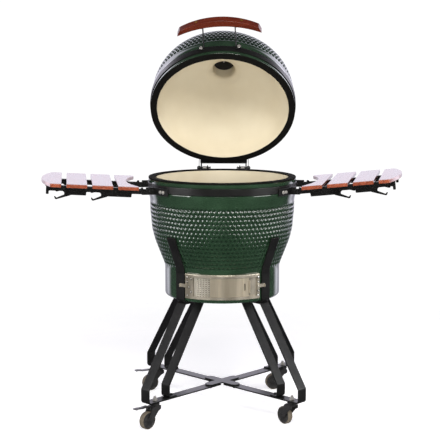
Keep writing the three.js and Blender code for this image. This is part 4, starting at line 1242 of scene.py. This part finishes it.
def build_sockets(name):
    side = SIDES[name]
    turn = shelf_turn(name)
    pin_place = joint_point(f"shelf_{name}_fold") - RIM_CENTRE
    spin = turn_z(turn)
    inward = spin @ Vector((-side, 0, 0))
    for place in ("front", "rear"):
        far = SOCKET_SPAN if place == "rear" else 0
        pin = Vector((pin_place.x, pin_place.y, 0)) / MM + spin @ Vector((0, far, 0))
        along = pin.dot(inward)
        reach = -along - math.sqrt(along ** 2 - pin.length_squared + FOOT_INNER ** 2)
        root = pin + inward * reach
        azimuth = math.degrees(math.atan2(root.x, -root.y))
        onward = side if place == "rear" else -side
        section = rectangle(FOOT_INNER + 0.1, FOOT_OUTER, -54, -28, 0.8)
        foot = sector(section, azimuth + onward * 17.5, azimuth - onward * 1.2, 24)
        inner = -side * (reach - 2.6)
        notch = [(4.8 * side * math.cos(a), -4.8 * math.sin(a)) for a in np.linspace(0, math.pi, 14)]
        outline = [(inner, -10), (side * 9, -10), (side * 14, -5), (side * 14, 13), (side * 11, 16)]
        outline += [(side * 4.8, 16), *notch, (-side * 4.8, 16), (inner, 16)]
        place_plate = Matrix.Translation((pin.x, pin.y, pin_place.z / MM)) @ spin
        plate = moved(upright(outline, -2.4, 2.4), place_plate)
        rivet = moved(aimed(dome_bolt(3, 1.6), (-side * (reach * 0.42), -2.4, 2), (0, -1, 0)), place_plate)
        finished(f"socket_{name}_{place}", merged(foot, plate, rivet), STEEL, STAND, KETTLE, 0.7)
        bolts = [stud(hex_bolt(9, 3.6), FOOT_OUTER, azimuth + onward * step, -41) for step in (9, 12.4)]
        piece(f"socket_bolts_{name}_{place}", merged(*bolts), ZINC, STAND, KETTLE, bevel=0.4)


def arm_outline(side):
    """A shelf arm from the side, with its two tool hooks. Each point is (x, z, rounding)."""
    under, deep, end = -9, -21.5, ARM_LENGTH
    points = [(-8, -5, 3), (-8, SLAT_SEAT, 2), (end, SLAT_SEAT, 0), (end, deep, 3)]
    points += [(end - 10, deep, 3), (end - 10, under, 3)]
    for start, stop in ((203, 279), (44.5, 151)):
        points += [(stop + 6, under, 4), (stop + 1, -13, 5), (stop, deep + 1, 3)]
        points += [(stop + 27, -33, 2), (stop + 32, -27.5, 1.5), (stop + 35.5, -28.5, 1)]
        points += [(stop + 31.5, -38, 2), (stop + 26.5, -38.5, 2)]
        points += [(stop - 21, deep - 1.5, 3), (stop - 22, deep, 3), (start, deep, 3), (start, under, 3)]
    points.append((-4, under, 3))
    return fillet([(side * x, z) for x, z, _ in points], [radius for _, _, radius in points], 3, True)


def arc_points(x, y0, y1, sag, steps):
    half = (y1 - y0) / 2
    radius = arc_radius(half, sag)
    spread = math.asin(half / radius)
    angles = np.linspace(-spread, spread, steps + 1)
    return [(x + sag - radius + radius * math.cos(a), (y0 + y1) / 2 + radius * math.sin(a)) for a in angles]


def slat_outline(side, index):
    x0 = SLAT_INSET + index * SLAT_STEP
    x1 = x0 + SLAT_W
    y0, y1 = -70, 326
    outer = arc_points(x1 - 34, y0, y1, 34, 32) if index == 3 else [(x1, y0), (x1, y1)]
    inner = arc_points(x0, y0 + 24, y1 - 24, 36, 28)[::-1] if index == 0 else []
    return [(side * x, y) for x, y in [(x0, y0), *outer, (x0, y1), *inner]]


def build_shelf(name):
    side = SIDES[name]
    at = shelf_frame(name)
    body = f"shelf_{name}"
    for place in ("front", "rear"):
        near = SOCKET_SPAN - 6.5 if place == "rear" else 3
        plate = upright(arm_outline(side), near + 0.05, near + 3.45)
        ledge_y = SOCKET_SPAN - 21 if place == "rear" else 3.1
        ledge = block(side * 30, side * ARM_LENGTH, ledge_y, ledge_y + 17.9, 8, SLAT_SEAT)
        pin_y = SOCKET_SPAN + 1 if place == "rear" else -1
        pin = moved(peg(4.1, -5, 5, 0.7, 28), Matrix.Translation((0, pin_y, 0)) @ Z_TO_Y)
        finished(f"shelf_arm_{name}_{place}", merged(plate, ledge, pin), STEEL, body, at, 0.6)
        screws = []
        for index in range(4):
            x = side * (SLAT_INSET + index * SLAT_STEP + SLAT_W / 2)
            y = ledge_y + (11 if place == "front" else 6)
            for off in (-18, 18):
                screws.append(aimed(dome_bolt(3.4, 2), (x + off, y, 8), (0, 0, -1)))
        piece(f"slat_screws_{name}_{place}", merged(*screws), ZINC, body, at, sharp=40)
    draw = np.random.default_rng({"left": 11, "right": 23}[name])
    for index in range(4):
        shape = prism(slat_outline(side, index), 10.75, 23.65)
        made = finished(f"slat_{name}_{index + 1}", shape, SHELF_WOOD, body, at, 2.0, sharp=30, segments=4)
        tag(made, shift=float(draw.uniform(0.5, 9)), tone=float(draw.uniform(0, 0.5)))


build_draft_door()
build_stand()
for corner_name in CORNERS:
    build_caster(corner_name)
build_vent()
build_handle()
build_hinge()
for shelf_name in SIDES:
    build_sockets(shelf_name)
    build_shelf(shelf_name)


# ---- studio ------------------------------------------------------
def softbox(name, azimuth, elevation, distance, width, height, power, colour=(1, 1, 1)):
    """A soft light aimed at the kettle. Azimuth is in degrees from the front, positive towards +X."""
    data = bpy.data.lights.new(name, "AREA")
    data.shape = "RECTANGLE"
    data.size, data.size_y = width, height
    data.energy = power
    data.color = colour
    made = bpy.data.objects.new(name, data)
    bpy.context.scene.collection.objects.link(made)
    a, e = math.radians(azimuth), math.radians(elevation)
    target = Vector((0, 0, 0.85))
    direction = Vector((math.sin(a) * math.cos(e), -math.cos(a) * math.cos(e), math.sin(e)))
    made.location = target + direction * distance
    made.rotation_euler = direction.to_track_quat("Z", "Y").to_euler()
    return made


def build_world():
    """Plain white to the camera; to the object, a bright backdrop that fades above, below and in front."""
    world = bpy.data.worlds.new("studio")
    bpy.context.scene.world = world
    world.use_nodes = True
    world.node_tree.nodes.clear()
    sky = Nodes(world.node_tree)
    direction = sky.node("TexCoord", {}).outputs["Generated"]
    axes = sky.node("SeparateXYZ", {"Vector": direction}).outputs
    behind = sky.span(axes["Y"], 0.09, 1.9, 0.55, 0.75, "SMOOTHSTEP")
    below = sky.span(axes["Z"], 0.3, 1.0, -0.3, 0.3)
    above = sky.span(axes["Z"], 1.0, 0.6, 0.5, 0.68, "SMOOTHSTEP")
    beside = sky.span(sky.maths("ABSOLUTE", axes["X"]), 0.82, 2.2, 0.48, 0.62, "SMOOTHSTEP")
    level = sky.maths("MULTIPLY", sky.maths("MULTIPLY", above, below), beside)
    strength = sky.maths("MULTIPLY", behind, level)
    lit = sky.node("Background", {"Color": (0.90, 0.87, 1.0, 1), "Strength": strength})
    seen = sky.node("Background", {"Color": (1.0, 1.0, 1.0, 1), "Strength": 1.05})
    path = sky.node("LightPath", {}).outputs["Is Camera Ray"]
    both = sky.node("MixShader", {0: path, 1: lit.outputs[0], 2: seen.outputs[0]})
    sky.node("OutputWorld", {"Surface": both.outputs[0]})


def build_floor():
    look = Look("floor", "floor", Emission_Color=(1, 1, 1, 1), Emission_Strength=0.42)
    away = look.node("VectorMath", {0: look.place}, operation="LENGTH").outputs["Value"]
    tone = look.ramp(look.noise(3, 4), (0.3, (0.9, 0.9, 0.9)), (0.7, (0.93, 0.93, 0.93)))
    look.finish(tone, look.span(look.noise(40, 3), 0.7, 0.85), (look.noise(300, 3), 0.05, 0.0005))
    clear = look.node("BsdfTransparent", {})
    fade = look.span(away, 0, 1, 0.9, 2.2)
    blend = look.node("MixShader", {0: fade, 1: look.shader.outputs[0], 2: clear.outputs[0]})
    output = look.tree.nodes["Material Output"]
    look.tree.links.new(blend.outputs[0], output.inputs["Surface"])
    floor = bare_object("floor", turned([(0, -1), (2300, -1)], 96))
    floor.data.materials.append(look.material)
    floor.visible_glossy = False


bpy.context.scene.view_settings.view_transform = "Standard"
bpy.context.scene.view_settings.look = "None"
softbox("key", 4, 38, 3.6, 2.0, 1.2, 80, (1.0, 0.97, 0.93))
softbox("spark", 14, 27, 3.6, 0.26, 0.26, 13, (1.0, 0.98, 0.95))
softbox("low_fill", 0, -8, 3.0, 2.6, 0.5, 58).visible_glossy = False
softbox("left_box", -65, 12, 3.2, 1.7, 1.4, 46)
softbox("right_box", 61, 12, 3.2, 1.7, 1.4, 46)
softbox("left_strip", -51, 10, 3.1, 0.16, 1.2, 8)
softbox("right_strip", 88, 10, 3.1, 0.16, 1.2, 8)
build_world()
build_floor()
